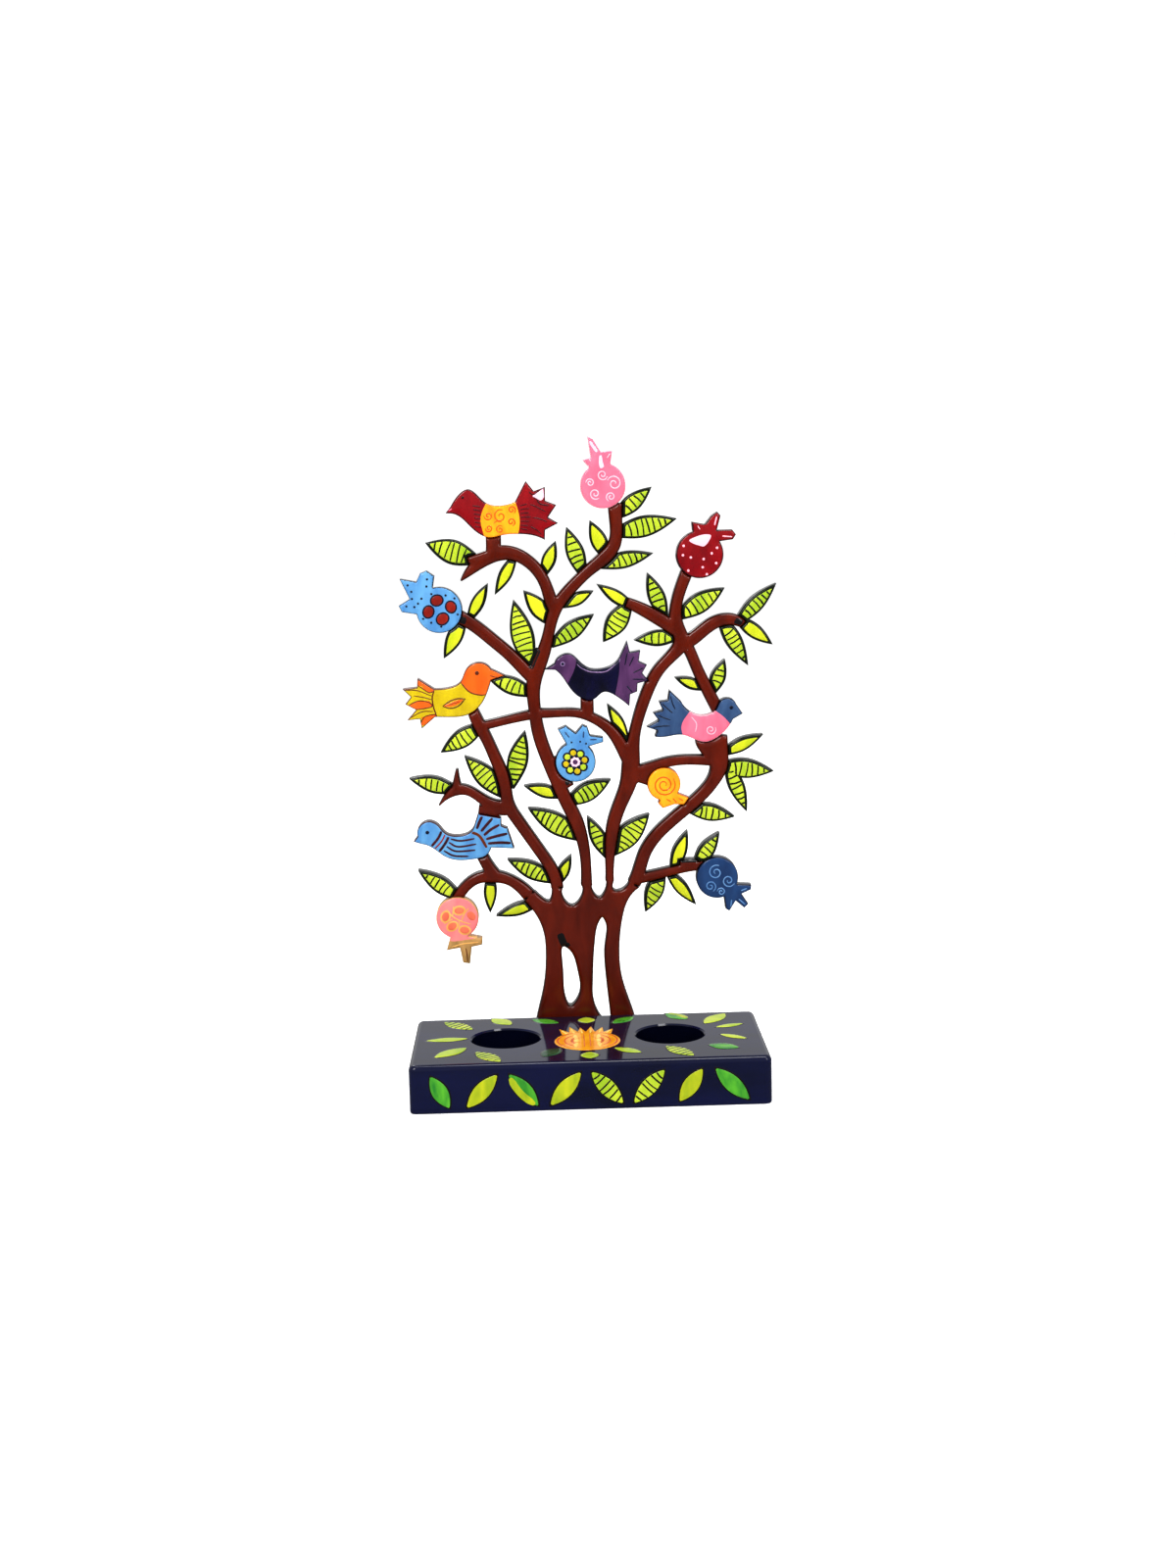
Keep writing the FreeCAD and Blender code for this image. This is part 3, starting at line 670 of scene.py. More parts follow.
def leaf_paint(shape, lay, loop, striped, margin=LEAF_MARGIN, paints=(1, 2, 0)):
    """A lime or yellow field inside a black margin, crossed by black strokes if striped."""
    centre = loop.mean(0)
    _, _, axes = np.linalg.svd(loop - centre)
    axis, across = axes
    lean = (across @ inward(loop).T) * 0.12
    inner = inset(loop, margin * (1 + lean))
    if len(inner) < 6:
        return
    lime, yellow, black = paints
    field(shape, lay, inner, lime if striped else yellow, 0.16)
    if not striped:
        return
    high = lifted(lay, 0.15)
    reach = (inner - centre) @ axis
    length = reach.max() - reach.min()
    count = max(3, round(length / STRIPE_GAP))
    for k in range(1, count):
        s = reach.min() + length * (k + random.uniform(-0.12, 0.12)) / count
        tilt = random.uniform(-0.12, 0.18)
        steps = np.linspace(-6, 6, 61)
        line = centre + axis * (s + steps[:, None] * tilt) + across * steps[:, None]
        line = line[inside(line, [inner])]
        if len(line) > 5:
            pick = line[[0, len(line) // 2, -1]]
            pick[1] += axis * random.uniform(0.05, 0.25)
            stroke(shape, high, pick, random.uniform(0.62, 0.84), black, 0.08, 0.75)


def leaves():
    """Black leaves, each painted lime or yellow on both faces."""
    for node in LEAF_NODES:
        shape = Shape()
        for number, piece in enumerate(cutouts(node, THIN_EDGE)):
            piece.build(shape, plain(0))
            striped = number not in PLAIN_LEAVES.get(node, ())
            for plane in (FRONT, BACK):
                leaf_paint(shape, piece.lay(plane), piece.loops[0], striped)
        own_piece(node, shape, [BLACK, LIME, YELLOW], slot_of(node))


class Pen:
    """Paints on one face of a cutout.  Points are in mm from the lowest corner of its node."""

    def __init__(self, shape, piece, plane, low):
        self.shape, self.piece, self.low = shape, piece, low
        self.lay = piece.lay(plane)

    def at(self, points):
        return self.low + np.asarray(points, float)

    def within(self, points, margin):
        return inside(points, self.piece.loops) & (distance(points, self.piece.own) > margin)

    def stroke(self, points, width, paint, height=0.1, tip=0.35):
        """A brush stroke that stops at the outline."""
        line = smooth(self.at(points))
        kept = np.flatnonzero(self.within(line, 0.12 + width * 0.3))
        if len(kept) > 3:
            runs = np.split(kept, np.flatnonzero(np.diff(kept) > 1) + 1)
            run = max(runs, key=len)
            if len(run) > 3:
                stroke(self.shape, self.lay, line[run], width, paint, height, tip)

    def strokes(self, lines, width, paint, height=0.1, tip=0.35):
        for points in lines:
            self.stroke(points, width, paint, height, tip)

    def dot(self, centre, radius, paint, height=0.12, squeeze=1.0, turn=0.0):
        if self.within(self.at([centre]), radius + 0.1)[0]:
            dot(self.shape, self.lay, self.at(centre), radius, paint, height, squeeze, turn)

    def fill(self, points, paint, height=0.12, margin=0.25):
        """A filled area with a soft outline, kept inside the piece."""
        loop = closed(self.at(points))
        loop = loop[self.within(loop, margin)]
        if len(loop) > 8:
            field(self.shape, self.lay, even(loop, 0.5, False), paint, height)

    def spiral(self, centre, radius, width, paint, turns=1.5, start=0.0, way=1):
        self.stroke(spiral(centre, radius, turns, start, way), width, paint)


def ornament(node, materials, zones, cuts, decorate):
    """A bird or fruit: coloured zones, then strokes and dots on both faces."""
    low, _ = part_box(node)
    low = np.array((low.x, low.z)) / MM
    shape = Shape()
    for piece in cutouts(node, THIN_EDGE):
        piece.build(shape, lambda points, depth: zones(points - low, depth),
                    [smooth(low + np.array(cut)) for cut in cuts])
        for plane in (FRONT, BACK):
            decorate(Pen(shape, piece, plane, low))
    own_piece(node, shape, materials, slot_of(node))


def right_of(points, line):
    """How far points lie to the right of an upright line."""
    line = smooth(sorted(line, key=lambda p: p[1]))
    return points[:, 0] - np.interp(points[:, 1], line[:, 1], line[:, 0])


def above(points, line):
    """How far points lie above a level line."""
    line = smooth(sorted(line))
    return points[:, 1] - np.interp(points[:, 0], line[:, 0], line[:, 1])


def red_bird():
    neck = [(15.6, 15), (13.5, 11), (12.7, 7.8), (13.2, 4.7), (14.6, -1)]
    rump = [(25, 16), (26.4, 11.4), (27, 7.9), (26.8, 4.7), (25.6, -1)]

    def zones(p, depth):
        body = (right_of(p, neck) > 0) & (right_of(p, rump) < 0)
        return np.where(body, np.where(depth < 0.22, 3, 1), np.where(depth < 0.4, 2, 0))

    def decorate(pen):
        for centre, radius in (((15.6, 9.2), 1.6), ((20, 9), 2.5), ((24.2, 11.2), 1.5), ((23.9, 6.8), 1.5),
                               ((15.7, 4.7), 1.4), ((19.7, 4.2), 1.5)):
            pen.spiral(centre, radius, 0.55, 3, 1.4, centre[0], 1)
        pen.stroke([(17.4, 6.4), (18.6, 7.2), (20.4, 6.8)], 0.4, 3)
        for z in (13, 11.6, 10.1, 8.6, 7.1, 5.6):
            pen.stroke([(10 + 0.1 * (13 - z), z), (11.4, z - 0.25), (12.9, z - 0.5)], 0.42, 2)
        for z, reach in ((12.6, 2.6), (11.2, 3.4), (9.8, 3.2), (8.4, 3.9), (7, 3.2), (5.6, 2.8), (4.3, 2.6)):
            pen.stroke([(27.2, z), (27.2 + reach, z + (z - 8) * 0.12)], 0.4, 2)
        pen.dot((6.5, 16), 0.55, 2)
        # The pale patch in the tail is partly the feather's own pale paint and partly a painted highlight
        pen.fill([(31.9, 16), (34, 17.4), (36.6, 19), (36.7, 17), (35.2, 14.4), (33.4, 15)], 4, 0.08)
        pen.stroke([(30.6, 17.6), (32.2, 16.5), (34.2, 17.9), (36.3, 19.4)], 0.5, 2, 0.12)
        pen.stroke([(32, 15.8), (33.6, 14.6), (34.6, 13.1), (38, 12.4)], 0.5, 2, 0.12)
        pen.stroke([(31, 13), (33, 12.2), (36.6, 10.2)], 0.4, 2)
        pen.stroke([(31.6, 8.2), (34, 7.8), (37, 6.6)], 0.4, 2)
        pen.stroke([(30.8, 5), (33, 3.8), (35, 2)], 0.4, 2)
        # Painted highlight: a pink line on the beak
        pen.stroke([(0.8, 11.3), (2.4, 12)], 0.5, 5, 0.1)

    ornament("red_bird", [CRIMSON, AMBER, MAROON, RUST, PALE_PAINT_AND_HIGHLIGHT, ROSE], zones, [neck, rump], decorate)


def yellow_bird():
    collar = [(20.6, 18), (21.5, 17), (23.9, 14), (26.2, 12.6), (29.8, 12), (32, 13), (33.1, 15.7),
              (33.4, 18)]
    tail = [(12.4, 16.4), (12, 15), (10.9, 11.5), (11.3, 7.8), (12.4, 4.2), (13, 2)]
    feathers = ([(5.7, 18), (9.5, 16.8), (11.9, 14.6), (10, 13.4), (7.4, 15), (5.4, 16.6)],
                [(1.4, 8.4), (5.6, 10.4), (9.6, 9.8), (10.6, 8.2), (5.5, 7.3), (1.6, 7.8)],
                [(6.4, 2), (7.9, 4.5), (11.5, 5.2), (12.2, 4.4), (9.8, 2.3), (7.3, 1.3)])

    def zones(p, depth):
        head = (p[:, 0] > 20.6) & (above(p, collar) > 0)
        colour = np.where(head, 1, 0)
        for feather in feathers:
            colour = np.where(inside(p, [closed(feather)]), 1, colour)
        return np.where(depth < 0.32, 2, colour)

    def decorate(pen):
        pen.stroke(collar, 0.55, 2, 0.12)
        pen.stroke(tail, 0.55, 2, 0.12)
        for feather in feathers:
            loop = closed(feather)
            pen.stroke(loop[::3], 0.42, 2, 0.12, 0.8)
        wing = [(14.6, 8.2), (17.3, 10), (20.1, 10.9), (23.1, 10.8), (20.6, 8.3), (17.6, 7.4)]
        pen.fill([(15.2, 8.3), (17.4, 9.5), (20.1, 10.4), (22.3, 10.5), (20.2, 8.7), (17.6, 7.9)], 1, 0.1)
        pen.stroke(wing[:4], 0.5, 2, 0.16)
        pen.stroke([wing[0], wing[5], wing[4], wing[3]], 0.5, 2, 0.16)
        pen.stroke([(16.6, 8.6), (21.2, 9.9)], 0.4, 2, 0.16)
        pen.strokes([[(0.8, 14.5), (5.4, 14.3), (10.8, 12.1)], [(2, 3.8), (6.7, 6.3), (11.1, 6.4)],
                     [(4, 12.4), (8, 11.6), (10.6, 10.8)]], 0.4, 2)
        pen.dot((27.7, 20.2), 0.8, 2)
        pen.stroke([(32.4, 19.2), (34.6, 18.5), (37.4, 18.2)], 0.35, 2)

    ornament("yellow_bird", [SUN, ORANGE, UMBER], zones, [collar, tail], decorate)


def purple_bird():
    neck = [(12, 19.5), (11.7, 17.9), (11.3, 15.5), (10.2, 12.7), (8.1, 8.6)]
    rump = [(27.3, 19), (27.6, 15.1), (27, 10.2), (25.2, 2)]

    def zones(p, depth):
        body = (right_of(p, neck) > 0) & (right_of(p, rump) < 0)
        return np.where(body, 1, np.where(depth < 0.35, 2, 0))

    def decorate(pen):
        # Painted highlight: a lilac-grey line along the back stands in for light catching the bird's upper
        # edge
        back = [(11.9, 16.2), (13.8, 14.5), (17, 13.2), (21.9, 13.1), (24.7, 14.5), (26.8, 16.8)]
        pen.stroke(back, 0.45, 3)
        pen.stroke([(29.6, 22.6), (28.2, 19.2), (27.6, 16.6)], 0.4, 3)
        pen.strokes([[(33, 18.6), (31.2, 15)], [(36.4, 14.2), (32.7, 12.5)], [(37.8, 9.9), (32.3, 10.1)],
                     [(32.4, 5), (30.2, 7.7)], [(30.6, 20), (29.6, 15.4)]], 0.5, 2)
        pen.dot((6.6, 16.4), 0.95, 3, 0.08)
        pen.dot((6.6, 16.4), 0.6, 2, 0.16)
        pen.stroke([(2, 16.4), (3.9, 17.6), (5.6, 18.2)], 0.35, 3)

    ornament("purple_bird", [PLUM, INK, NIGHT, MAUVE], zones, [neck, rump], decorate)


def navy_bird():
    rump = [(17, 13.4), (16.3, 12), (13.6, 8.3), (12.8, 5.4), (13.7, 1)]
    neck = [(24.6, 12.6), (25.6, 11.6), (28.6, 9.3), (31.8, 5.6), (32.6, 4)]

    def zones(p, depth):
        head = (p[:, 0] > 24) & (above(p, neck) > 0)
        body = (right_of(p, rump) > 0) & ~head
        return np.where(body, np.where(depth < 0.2, 3, 1), np.where(depth < 0.35, 2, 0))

    def decorate(pen):
        pen.dot((31.5, 12.7), 0.75, 2)
        pen.spiral((23.7, 4.6), 2, 0.4, 3, 1.5, 0.5, -1)
        pen.stroke([(16.6, 9.6), (18.4, 7), (18, 4)], 0.4, 3)
        pen.strokes([[(8.9, 17.6), (9.7, 14.6), (10.6, 12.6)], [(5.6, 15), (7.6, 13), (9.6, 11.2)],
                     [(4, 10.6), (6.6, 9.4), (8.8, 8.6)], [(2, 5.9), (5.6, 6.4), (8.6, 6.4)]], 0.45, 2)

    ornament("navy_bird", [SLATE, ROSE, NIGHT, BLUSH], zones, [rump, neck], decorate)


def striped_bird():
    def zones(p, depth):
        return np.where(depth < 0.25, 1, 0)

    def decorate(pen):
        for points, width, paint in (([(10.8, 12), (9.3, 8.9), (6.3, 5.4)], 1.1, 1),
                                     ([(12.1, 10.6), (10.4, 7.5), (7.7, 4.7)], 0.6, 3),
                                     ([(13.3, 9.4), (11.7, 6.6), (9.3, 3.5)], 1.1, 1),
                                     ([(21, 11), (24.6, 9.3), (27.3, 4.8)], 1.2, 4)):
            pen.stroke(points, width, paint, 0.14, 0.7)
        pen.strokes([[(13.9, 8.4), (17.6, 7.6), (22.8, 8.3)], [(13.2, 7.1), (16.7, 5.4), (23.4, 6.2)],
                     [(12.3, 5.6), (15.8, 3.7), (23, 3.9)], [(11.2, 4), (14.9, 2), (20.4, 1.6)]],
                    0.8, 1, 0.12, 0.5)
        pen.strokes([[(23.8, 12), (25.1, 15.1), (26.4, 17.4)], [(25.4, 11), (27.5, 13.4), (30.4, 16.6)],
                     [(26.4, 9.5), (29.5, 11.9), (33.8, 14)], [(27.2, 8), (31.4, 9.1), (35.8, 10)],
                     [(27.8, 6.3), (32.2, 6.5), (37.4, 6.2)], [(28, 4.7), (32.9, 4.4), (37.6, 3.3)]],
                    1.2, 1, 0.12, 0.6)
        pen.dot((5.3, 11.1), 0.75, 2)

    ornament("striped_bird", [SKY, COCOA, NIGHT, BRICK, UMBER], zones, [], decorate)


def rim(width, paint):
    """The main paint with a line along the outline."""
    return lambda p, depth: np.where(depth < width, paint, 0)


def pink_fruit():
    def decorate(pen):
        for centre, radius in (((8.2, 12.2), 2), ((12.4, 9), 2.8), ((5.4, 5.4), 2.1), ((11.1, 4.2), 1.8),
                               ((3.6, 9.4), 1.6)):
            pen.spiral(centre, radius, 0.5, 1, 1.5, centre[1], -1)
        # Painted highlight: a pale patch below the crown stands in for a lamp's glint on the glossy lacquer
        pen.fill([(7.2, 19), (8, 19.2), (8.4, 17), (8.8, 15), (7.4, 14.6), (6.9, 16.6)], 3, 0.08)
        pen.stroke([(3.6, 24.6), (4.9, 22.6), (6.4, 20.4)], 1.1, 3, 0.06, 0.3)
        pen.stroke([(2.8, 18.8), (4, 17.2)], 0.4, 1)
        pen.stroke([(11.2, 19.8), (10, 18.2)], 0.4, 1)

    ornament("pomegranate_pink", [ROSE, BLUSH, PLUM, PALE_PAINT_AND_HIGHLIGHT], rim(0.2, 1), [], decorate)


def red_fruit():
    def decorate(pen):
        # Painted highlight: a pale patch near the top stands in for a lamp's glint on the glossy lacquer
        patch = [(4.8, 14), (7.4, 15.3), (10.4, 16), (12.8, 15.6), (12, 13.4), (10.2, 11.6), (8.2, 12),
                 (6, 12.8)]
        pen.fill(patch, 3, 0.08)
        for centre in ((10, 7), (5.3, 7.7), (2.4, 8.6), (4.3, 2.9), (11.1, 1.4), (14.6, 5.4), (15, 11),
                       (2.7, 12), (9.6, 4), (13, 9)):
            pen.dot(centre, 0.5, 1)
        pen.stroke([(15, 22.4), (14.2, 19.2)], 0.6, 1)
        pen.stroke([(20.6, 14.9), (17, 15.2)], 0.5, 1)
        pen.stroke([(8, 19.2), (8.8, 17.8)], 0.4, 1)

    ornament("pomegranate_red", [CRIMSON, BLUSH, MAROON, PALE_PAINT_AND_HIGHLIGHT], rim(0.4, 2), [], decorate)


def spotted_fruit():
    def decorate(pen):
        for centre, radius, turn in (((14.1, 12), 2.3, 0.3), ((19.2, 9.5), 2.2, 1.9),
                                     ((10.9, 7.9), 2.3, 1.2), ((16, 5.2), 2.4, 0.7)):
            pen.dot(centre, radius + 0.45, 2, 0.12, 0.88, turn)
            pen.dot(centre, radius, 1, 0.2, 0.86, turn)
        for centre in ((4.9, 15.4), (5, 12.8), (8.5, 12.8), (2.9, 10.1), (5.8, 9.8), (10.8, 19.8),
                       (8.9, 5.4), (11.8, 3.9), (7.2, 11), (21.6, 6.7), (17.4, 13.8), (10.5, 17.2),
                       (3.6, 17.8), (15.4, 2.4), (12.2, 14.4), (20.6, 12.6)):
            pen.dot(centre, 0.45, 2)

    ornament("pomegranate_spotted", [SKY, BRICK, NIGHT], rim(0.22, 2), [], decorate)


def flower_fruit():
    def decorate(pen):
        centre = np.array((7.4, 7.6))
        for radius, size, paint, height in ((3.6, 1.75, 1, 0.1), (3.5, 1.25, 3, 0.2), (2.3, 0.8, 1, 0.24)):
            for k in range(8):
                angle = math.tau * (k + 0.25 + 0.5 * (radius < 3)) / 8
                spot = centre + radius * np.array((math.cos(angle), math.sin(angle)))
                pen.dot(spot, size, 5 if paint == 3 and k % 2 else paint, height)
        pen.dot(centre, 2.1, 4, 0.26)
        pen.dot(centre, 1.4, 2, 0.34)
        for x, z, u, v in ((3.8, 19, 5.4, 16.8), (10.8, 19, 10.6, 16.6), (15.6, 15.8, 13, 15.9)):
            pen.stroke([(x, z), (u, v)], 0.6, 6)
        for centre in ((6.2, 15), (9.4, 15.2), (11.6, 14.4)):
            pen.dot(centre, 0.4, 1)

    ornament("pomegranate_flower", [SKY, NIGHT, PLUM, SUN, PALE_PAINT_AND_HIGHLIGHT, LIME, SLATE], rim(0.3, 1), [], decorate)


def orange_fruit():
    def decorate(pen):
        pen.spiral((6.2, 9), 4.3, 0.55, 1, 2.2, 0.6, -1)
        pen.strokes([[(7, 3.6), (8.6, 2.6)], [(9.4, 3.8), (10.8, 2.2)], [(11.6, 3.8), (13.2, 2.8)]], 0.45, 1)

    ornament("pomegranate_orange", [AMBER, RUST], rim(0.2, 1), [], decorate)


def coral_fruit():
    crown = [(3, 9.6), (6, 9), (9, 9.2), (12, 9.6), (16.6, 10.2)]

    def zones(p, depth):
        return np.where(above(p, crown) < 0, 2, np.where(depth < 0.2, 3, 0))

    def decorate(pen):
        for x, z, turn in ((8.8, 20.8, 0.1), (3.6, 18.6, 1.2), (13.3, 18.6, -0.9), (6, 14.8, 0.6),
                           (10.6, 13.2, -0.2)):
            pen.dot((x, z), 2.6, 3, 0.1, 0.78, turn)
            pen.dot((x, z), 2.05, 1, 0.2, 0.74, turn)
        pen.strokes([[(4, 21.4), (6.2, 18.6), (9.4, 16.6), (13, 15.4)], [(6.2, 18.6), (6.8, 22.6)],
                     [(9.4, 16.6), (10.8, 19.6), (12.4, 21.6)], [(3, 15.8), (6.2, 17.6)],
                     [(8.4, 12.6), (8.6, 16.8)]], 0.5, 3, 0.12)
        pen.stroke([(5.4, 6.7), (10, 7.9), (15.6, 8.3)], 0.5, 3, 0.12)
        pen.stroke([(10.9, 6.2), (11.2, 3.7), (11.4, 1)], 0.4, 4, 0.12)

    ornament("pomegranate_coral", [CORAL, APRICOT, TAN, STRAW, UMBER], zones, [crown], decorate)


def navy_fruit():
    def decorate(pen):
        for x, z, radius, way in ((7.4, 15.1, 2.9, 1), (12.1, 11.8, 2.5, -1), (5.2, 9.8, 2.2, 1),
                                  (9.3, 7.6, 1.6, -1)):
            pen.spiral((x, z), radius, 0.5, 1, 1.5, x, way)
        pen.strokes([[(16.8, 7.8), (19, 8.6)], [(15.9, 4.6), (18.3, 2.4)], [(13.2, 4.4), (12.8, 1.8)]],
                    0.5, 1)

    ornament("pomegranate_navy", [DEEP, DENIM, NIGHT], rim(0.3, 2), [], decorate)


# ---- base block

# The row of leaves on the block's front: how far each tip stands to the right of its foot, and its paint.
FRONT_ROW = [(-7, "green"), (12, "yellow"), (-11, "half"), (12, "yellow"),
             (-12, "striped"), (12, "striped"), (9, "yellow"), (-13, "green")]
FRONT_START = 0.085    # middle of the first leaf, as a share of the block's width
FRONT_PITCH = 0.115    # step from leaf to leaf, as a share of the width
FRONT_FOOT = 0.085     # foot and tip, as shares of the block's height
FRONT_TIP = 0.82
FRONT_WIDTH = 6.7

# The ring of leaves round each bore: angle round the bore, heading, length, width and paint.
LONG = 17
SHORT = 13
BROAD = 7.5
SLIM = 4.6
RING_REACH = 21.5      # from the bore's axis to a leaf's middle, along X and Y
CORNER_REACH = 4       # how much farther out the leaves towards the corners lie
BORE_RINGS = {
    "candle_socket_left": [
        (135, 135, LONG, BROAD, "striped"), (95, 130, SHORT, BROAD, "plain"), (180, 185, LONG, 5.8, "plain"),
        (220, 225, LONG, BROAD, "plain"), (255, 305, LONG, BROAD, "striped"),
        (310, 60, SHORT, BROAD, "dark"), (55, 330, SHORT, 6.7, "green")],
    "candle_socket_right": [
        (130, 45, SHORT, 6.7, "green"), (80, 310, SHORT, BROAD, "half"), (45, 55, LONG, BROAD, "plain"),
        (20, 20, SHORT, SLIM, "plain"), (-15, -35, SHORT, SLIM, "plain"), (-45, -25, SHORT, BROAD, "green"),
        (-85, -55, LONG, BROAD, "striped"), (-130, -35, SHORT, 5.8, "plain")],
}
# The two buds in front of and behind the painted pomegranate
BUD_PLACE = 0.75       # as a share of the block's half depth
BUD_LENGTH = 9

# The painted pomegranate between the bores: its centre and radius, and each crown point's x and reach
FRUIT_CENTRE = np.array((-0.4, -4.4))
FRUIT_RADIUS = 12
FRUIT_CROWN = ((-9, 16), (-5.6, 19), (-2, 17.6), (1.6, 19), (5.4, 17.4), (8.8, 15))


def repaint(node, material):
    """A CAD node keeps its shape and gets a new material."""
    for k in range(len(NODES[node].data.materials)):
        NODES[node].data.materials[k] = material


def leaf_outline(tip, foot, width):
    """A pointed leaf between two points, as a closed loop."""
    tip, foot = np.asarray(tip, float), np.asarray(foot, float)
    way = foot - tip
    side = np.array((-way[1], way[0])) / np.hypot(*way) * width / 2
    steps = np.linspace(0, 1, 17)
    swell = np.sin(np.pi * steps) ** 0.8
    left = tip + way * steps[:, None] + side * swell[:, None]
    right = tip + way * steps[::-1, None] - side * swell[::-1, None]
    return even(np.concatenate([left, right[1:-1]]), STEP, False)


def paint_shade_in_bores(material):
    """Painted shade: the navy lacquer turned nearly black inside the candle bores, for the shade in the
    holes.
    """
    tree = material.node_tree
    shader = tree.nodes["Principled BSDF"]
    colour = shader.inputs["Base Color"].links[0].from_socket
    place = tree.nodes.new("ShaderNodeTexCoord")
    for mount in frame["record"]["mounts"]:
        if mount["name"].startswith("candle_socket"):
            colour = painted_bore_shade(tree, place, mount["pos_m"], mount["dims"]["r_mm"], colour)
    tree.links.new(colour, shader.inputs["Base Color"])


def front_leaves():
    """Tip, foot, width and paint of each leaf in the row, from the block's own width and height."""
    span = BLOCK_HIGH.x - BLOCK_LOW.x
    height = BLOCK_HIGH.z - BLOCK_LOW.z
    for k, (lean, kind) in enumerate(FRONT_ROW):
        x = BLOCK_LOW.x + span * (FRONT_START + FRONT_PITCH * k)
        tip = (x + lean / 2, BLOCK_LOW.z + height * FRONT_TIP)
        foot = (x - lean / 2, BLOCK_LOW.z + height * FRONT_FOOT)
        yield tip, foot, FRONT_WIDTH, kind


def top_leaves():
    """Tip, foot, width and paint of each leaf round the bores, and of the two buds."""
    for mount in frame["record"]["mounts"]:
        bore = np.array(mount["pos_m"][:2]) / MM
        for around, heading, length, width, kind in BORE_RINGS.get(mount["name"], []):
            around, heading = math.radians(around), math.radians(heading)
            reach = RING_REACH + CORNER_REACH * abs(math.sin(2 * around))
            middle = bore + reach * np.array((math.cos(around), math.sin(around)))
            half = length / 2 * np.array((math.cos(heading), math.sin(heading)))
            yield middle + half, middle - half, width, kind
    for side in (BLOCK_LOW.y, BLOCK_HIGH.y):
        y = side * BUD_PLACE
        yield (0, y + BUD_LENGTH / 2), (0, y - BUD_LENGTH / 2), BROAD, "plain"


def base_leaf(shape, lay, tip, foot, width, kind):
    """One painted leaf with a black margin."""
    loop = leaf_outline(tip, foot, width)
    field(shape, lay, loop, 0, 0.06)
    main = {"green": 3, "yellow": 2, "plain": 1, "half": 3, "striped": 1, "dark": 7}[kind]
    leaf_paint(shape, lifted(lay, 0.05), loop, kind == "striped", 0.5, (1, main, 0))
    if kind == "half":
        tip, foot = np.asarray(tip, float), np.asarray(foot, float)
        way = foot - tip
        side = np.array((-way[1], way[0])) / np.hypot(*way)
        middle = [tip + way * t - side * 1.5 * math.sin(math.pi * t) for t in (0.12, 0.35, 0.6, 0.88)]
        stroke(shape, lifted(lay, 0.2), middle, 2.7, 2, 0.08)


def fruit_on_top(shape, lay):
    """The orange pomegranate painted between the candle bores, its crown towards the tree."""
    centre = FRUIT_CENTRE
    angles = np.linspace(0, math.tau, 56, endpoint=False)
    loop = centre + FRUIT_RADIUS * np.stack([np.cos(angles), np.sin(angles)], 1)
    for k, (x, reach) in enumerate(FRUIT_CROWN):
        spike = centre + np.array([(x * 0.75 - 2.4, 8.6), (x * 0.75 + 2.4, 8.6), (x * 1.12, reach)])
        field(shape, lay, even(spike, 0.5, False), 4, 0.09 + 0.01 * k)
        stroke(shape, lay, [centre + (x * 0.8, 9), centre + (x * 1.02, reach - 2)], 1.2, 6, 0.2, 0.05)
    field(shape, lay, even(loop, STEP, False), 4, 0.12)
    raised = lifted(lay, 0.1)
    for way, facing in ((-1, 180), (1, 0)):
        for k, radius in enumerate((10.8, 8.2, 5.8)):
            turn = 62 - 6 * k
            stroke(shape, raised, arc(centre, radius, facing - turn, facing + turn), 0.8, 5, 0.08, 0.5)
        curl = arc(centre + (way * 3, 0), 2.4, facing - 100, facing + 100)
        stroke(shape, raised, curl, 0.7, 5, 0.08)
        shine = [centre + (way * 4.4, -8), centre + (way * 4, 0), centre + (way * 4.4, 8)]
        stroke(shape, raised, shine, 2.2, 6, 0.06)
    for x in (-1.2, 1):
        stroke(shape, raised, [centre + (x, -8.5), centre + (x, 8.5)], 0.5, 5, 0.05)


def on_front(points, rise):
    """Points of (x, z) laid on the block's front face."""
    points = np.asarray(points, float).reshape(-1, 2)
    y = np.broadcast_to(BLOCK_LOW.y - np.asarray(rise, float), len(points))
    return np.stack([points[:, 0], y, points[:, 1]], 1)


def on_top(points, rise):
    """Points of (x, y) laid on the block's top face."""
    points = np.asarray(points, float).reshape(-1, 2)
    z = np.broadcast_to(BLOCK_HIGH.z + np.asarray(rise, float), len(points))
    return np.stack([points[:, 0], points[:, 1], z], 1)


def block():
    """The lacquered block keeps its CAD shape; its painted leaves and pomegranate lie on it."""
    repaint("base_block", LACQUER)
    # Painted shade inside the candle bores
    paint_shade_in_bores(LACQUER)
    paints = Shape()
    for leaf in front_leaves():
        base_leaf(paints, on_front, *leaf)
    for leaf in top_leaves():
        base_leaf(paints, on_top, *leaf)
    fruit_on_top(paints, on_top)
    obj = paints.make("painted_base_leaves", [JET, LIME, OLIVE, GREEN, GOLD, RUST, CREAM, FOREST])
    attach(obj, "root")


# ---- stage, light and camera

LAMPS = (
    # name, place in metres, width, length, power
    ("key", (-0.42, -0.62, 0.75), 0.28, 0.5, 5.6),
    ("fill", (0.62, -0.7, 0.6), 0.2, 0.4, 2.6),
    ("top", (0.17, -0.12, 0.95), 0.2, 0.7, 5.0),
    ("back", (-0.3, 0.8, 0.7), 0.3, 0.3, 1.6),
)
CAMERA_PLACE = (-14.2, -684.25, 218.3)
CAMERA_TURN = (8.91, -1.36, 1.31)    # pitch down, yaw and roll, in degrees
SENSOR = 36
LENS = 44.496


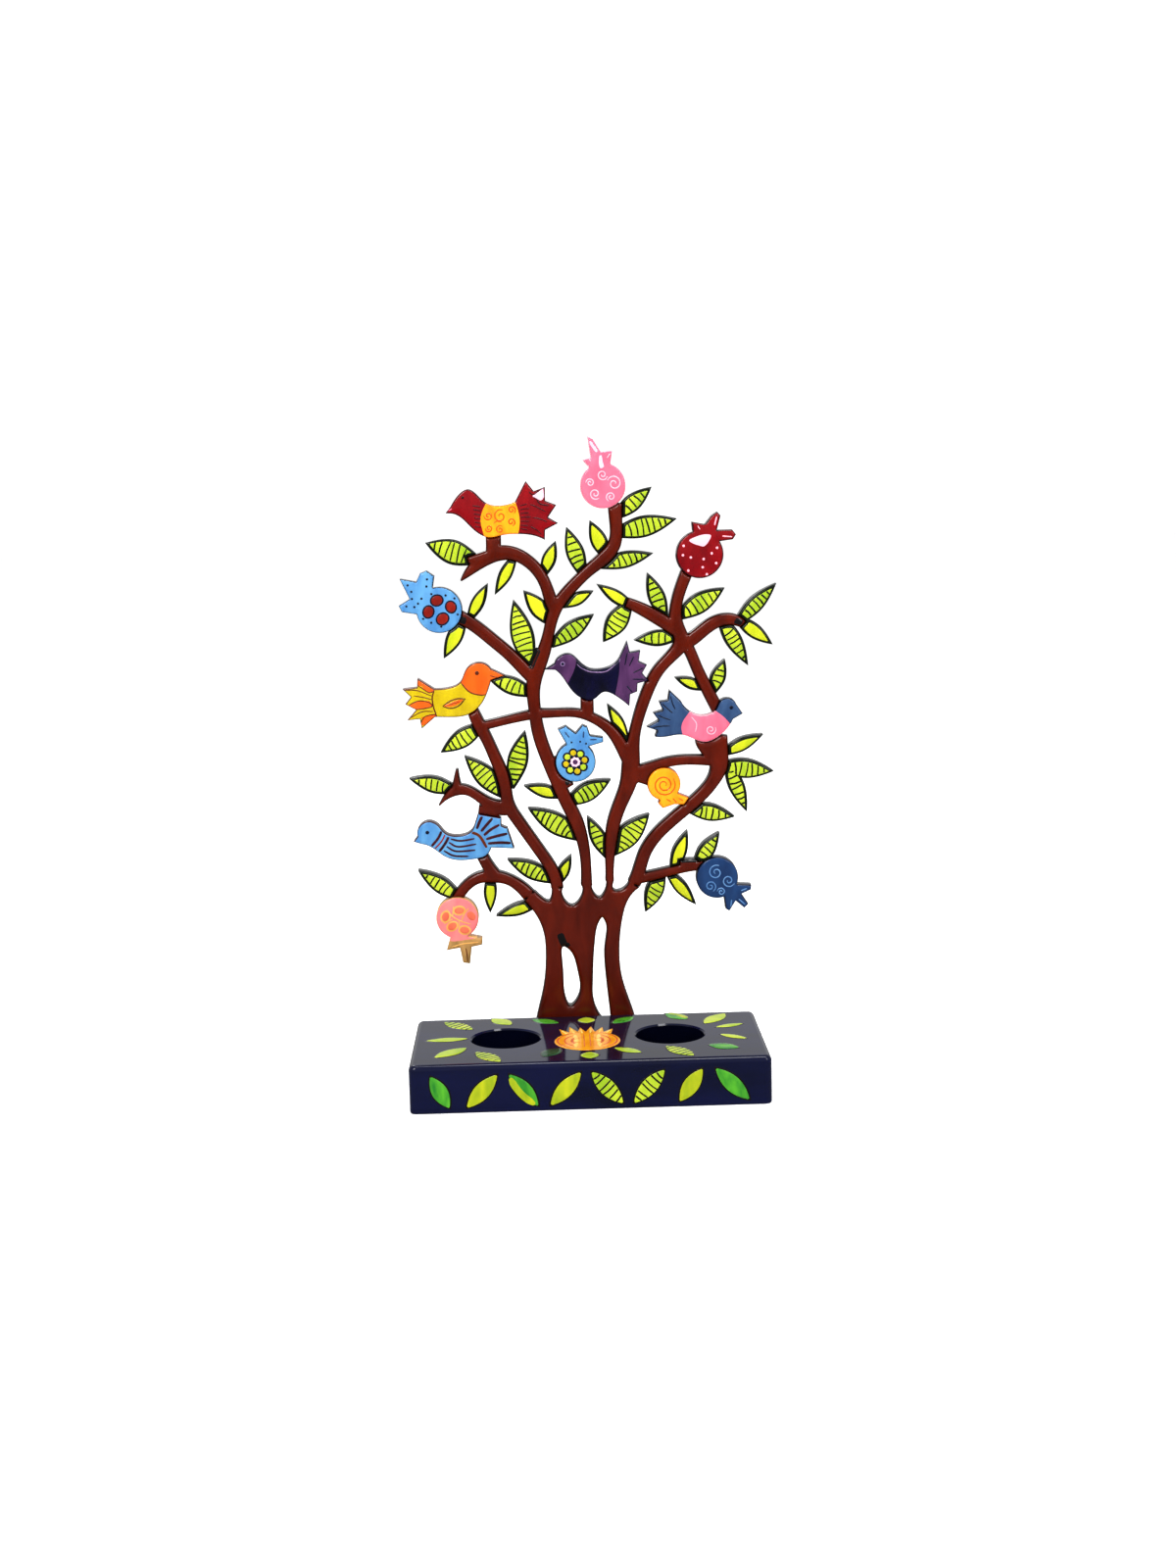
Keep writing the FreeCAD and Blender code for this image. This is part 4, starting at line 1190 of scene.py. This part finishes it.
def stage():
    """A white floor in a white room.

    Reflections see a darker floor than the camera does, and only the camera sees the bright room.
    """
    floor = bpy.data.materials.new("white_floor")
    floor.use_nodes = True
    shader = floor.node_tree.nodes["Principled BSDF"]
    shader.inputs["Roughness"].default_value = 0.7
    shader.inputs["Specular IOR Level"].default_value = 0.1
    shader.inputs["Emission Color"].default_value = (1, 1, 1, 1)
    rays = floor.node_tree.nodes.new("ShaderNodeLightPath")
    for socket, direct, mirrored in (("Base Color", 0.92, 0.2), ("Emission Strength", 0.42, 0.0)):
        value = level(floor.node_tree, rays.outputs["Is Glossy Ray"], direct, mirrored)
        floor.node_tree.links.new(value, shader.inputs[socket])
    bpy.ops.mesh.primitive_plane_add(size=12, location=(0, 0, BLOCK_LOW.z * MM))
    plane = bpy.context.object
    plane.name = "floor"
    plane.data.materials.append(floor)
    world = bpy.data.worlds.new("white_room")
    world.use_nodes = True
    tree = world.node_tree
    rays = tree.nodes.new("ShaderNodeLightPath")
    strength = level(tree, rays.outputs["Is Camera Ray"], 0.64, 1.2)
    tree.links.new(strength, tree.nodes["Background"].inputs["Strength"])
    tree.nodes["Background"].inputs["Color"].default_value = (1, 1, 1, 1)
    bpy.context.scene.world = world
    for name, place, width, length, power in LAMPS:
        lamp = bpy.data.lights.new(name, "AREA")
        lamp.shape = "RECTANGLE"
        lamp.size = width
        lamp.size_y = length
        lamp.energy = power
        light = bpy.data.objects.new(name, lamp)
        light.location = place
        light.rotation_euler = (Vector((0, 0, 0.1)) - Vector(place)).to_track_quat("-Z", "Y").to_euler()
        bpy.context.collection.objects.link(light)


def camera():
    """A camera in front of the tree, level with its crown and looking slightly down."""
    pitch, yaw, roll = (math.radians(angle) for angle in CAMERA_TURN)
    turn = Matrix.Rotation(yaw, 3, "Z") @ Matrix.Rotation(-pitch, 3, "X") @ Matrix.Rotation(roll, 3, "Y")
    look = turn @ Matrix.Rotation(math.radians(90), 3, "X")
    data = bpy.data.cameras.new("camera")
    data.sensor_width = SENSOR
    data.lens = LENS
    cam = bpy.data.objects.new("camera", data)
    cam.matrix_world = Matrix.Translation(Vector(CAMERA_PLACE) * MM) @ look.to_4x4()
    bpy.context.collection.objects.link(cam)
    bpy.context.scene.camera = cam


bpy.context.scene.view_settings.view_transform = "Standard"
bpy.context.scene.view_settings.gamma = 0.86
for hardware in ("joint_pins", "foot_screws"):
    repaint(hardware, STEEL)
branches()
leaves()
for paint_it in (red_bird, yellow_bird, purple_bird, navy_bird, striped_bird, pink_fruit, red_fruit,
                 spotted_fruit, flower_fruit, orange_fruit, coral_fruit, navy_fruit):
    paint_it()
block()
stage()
camera()
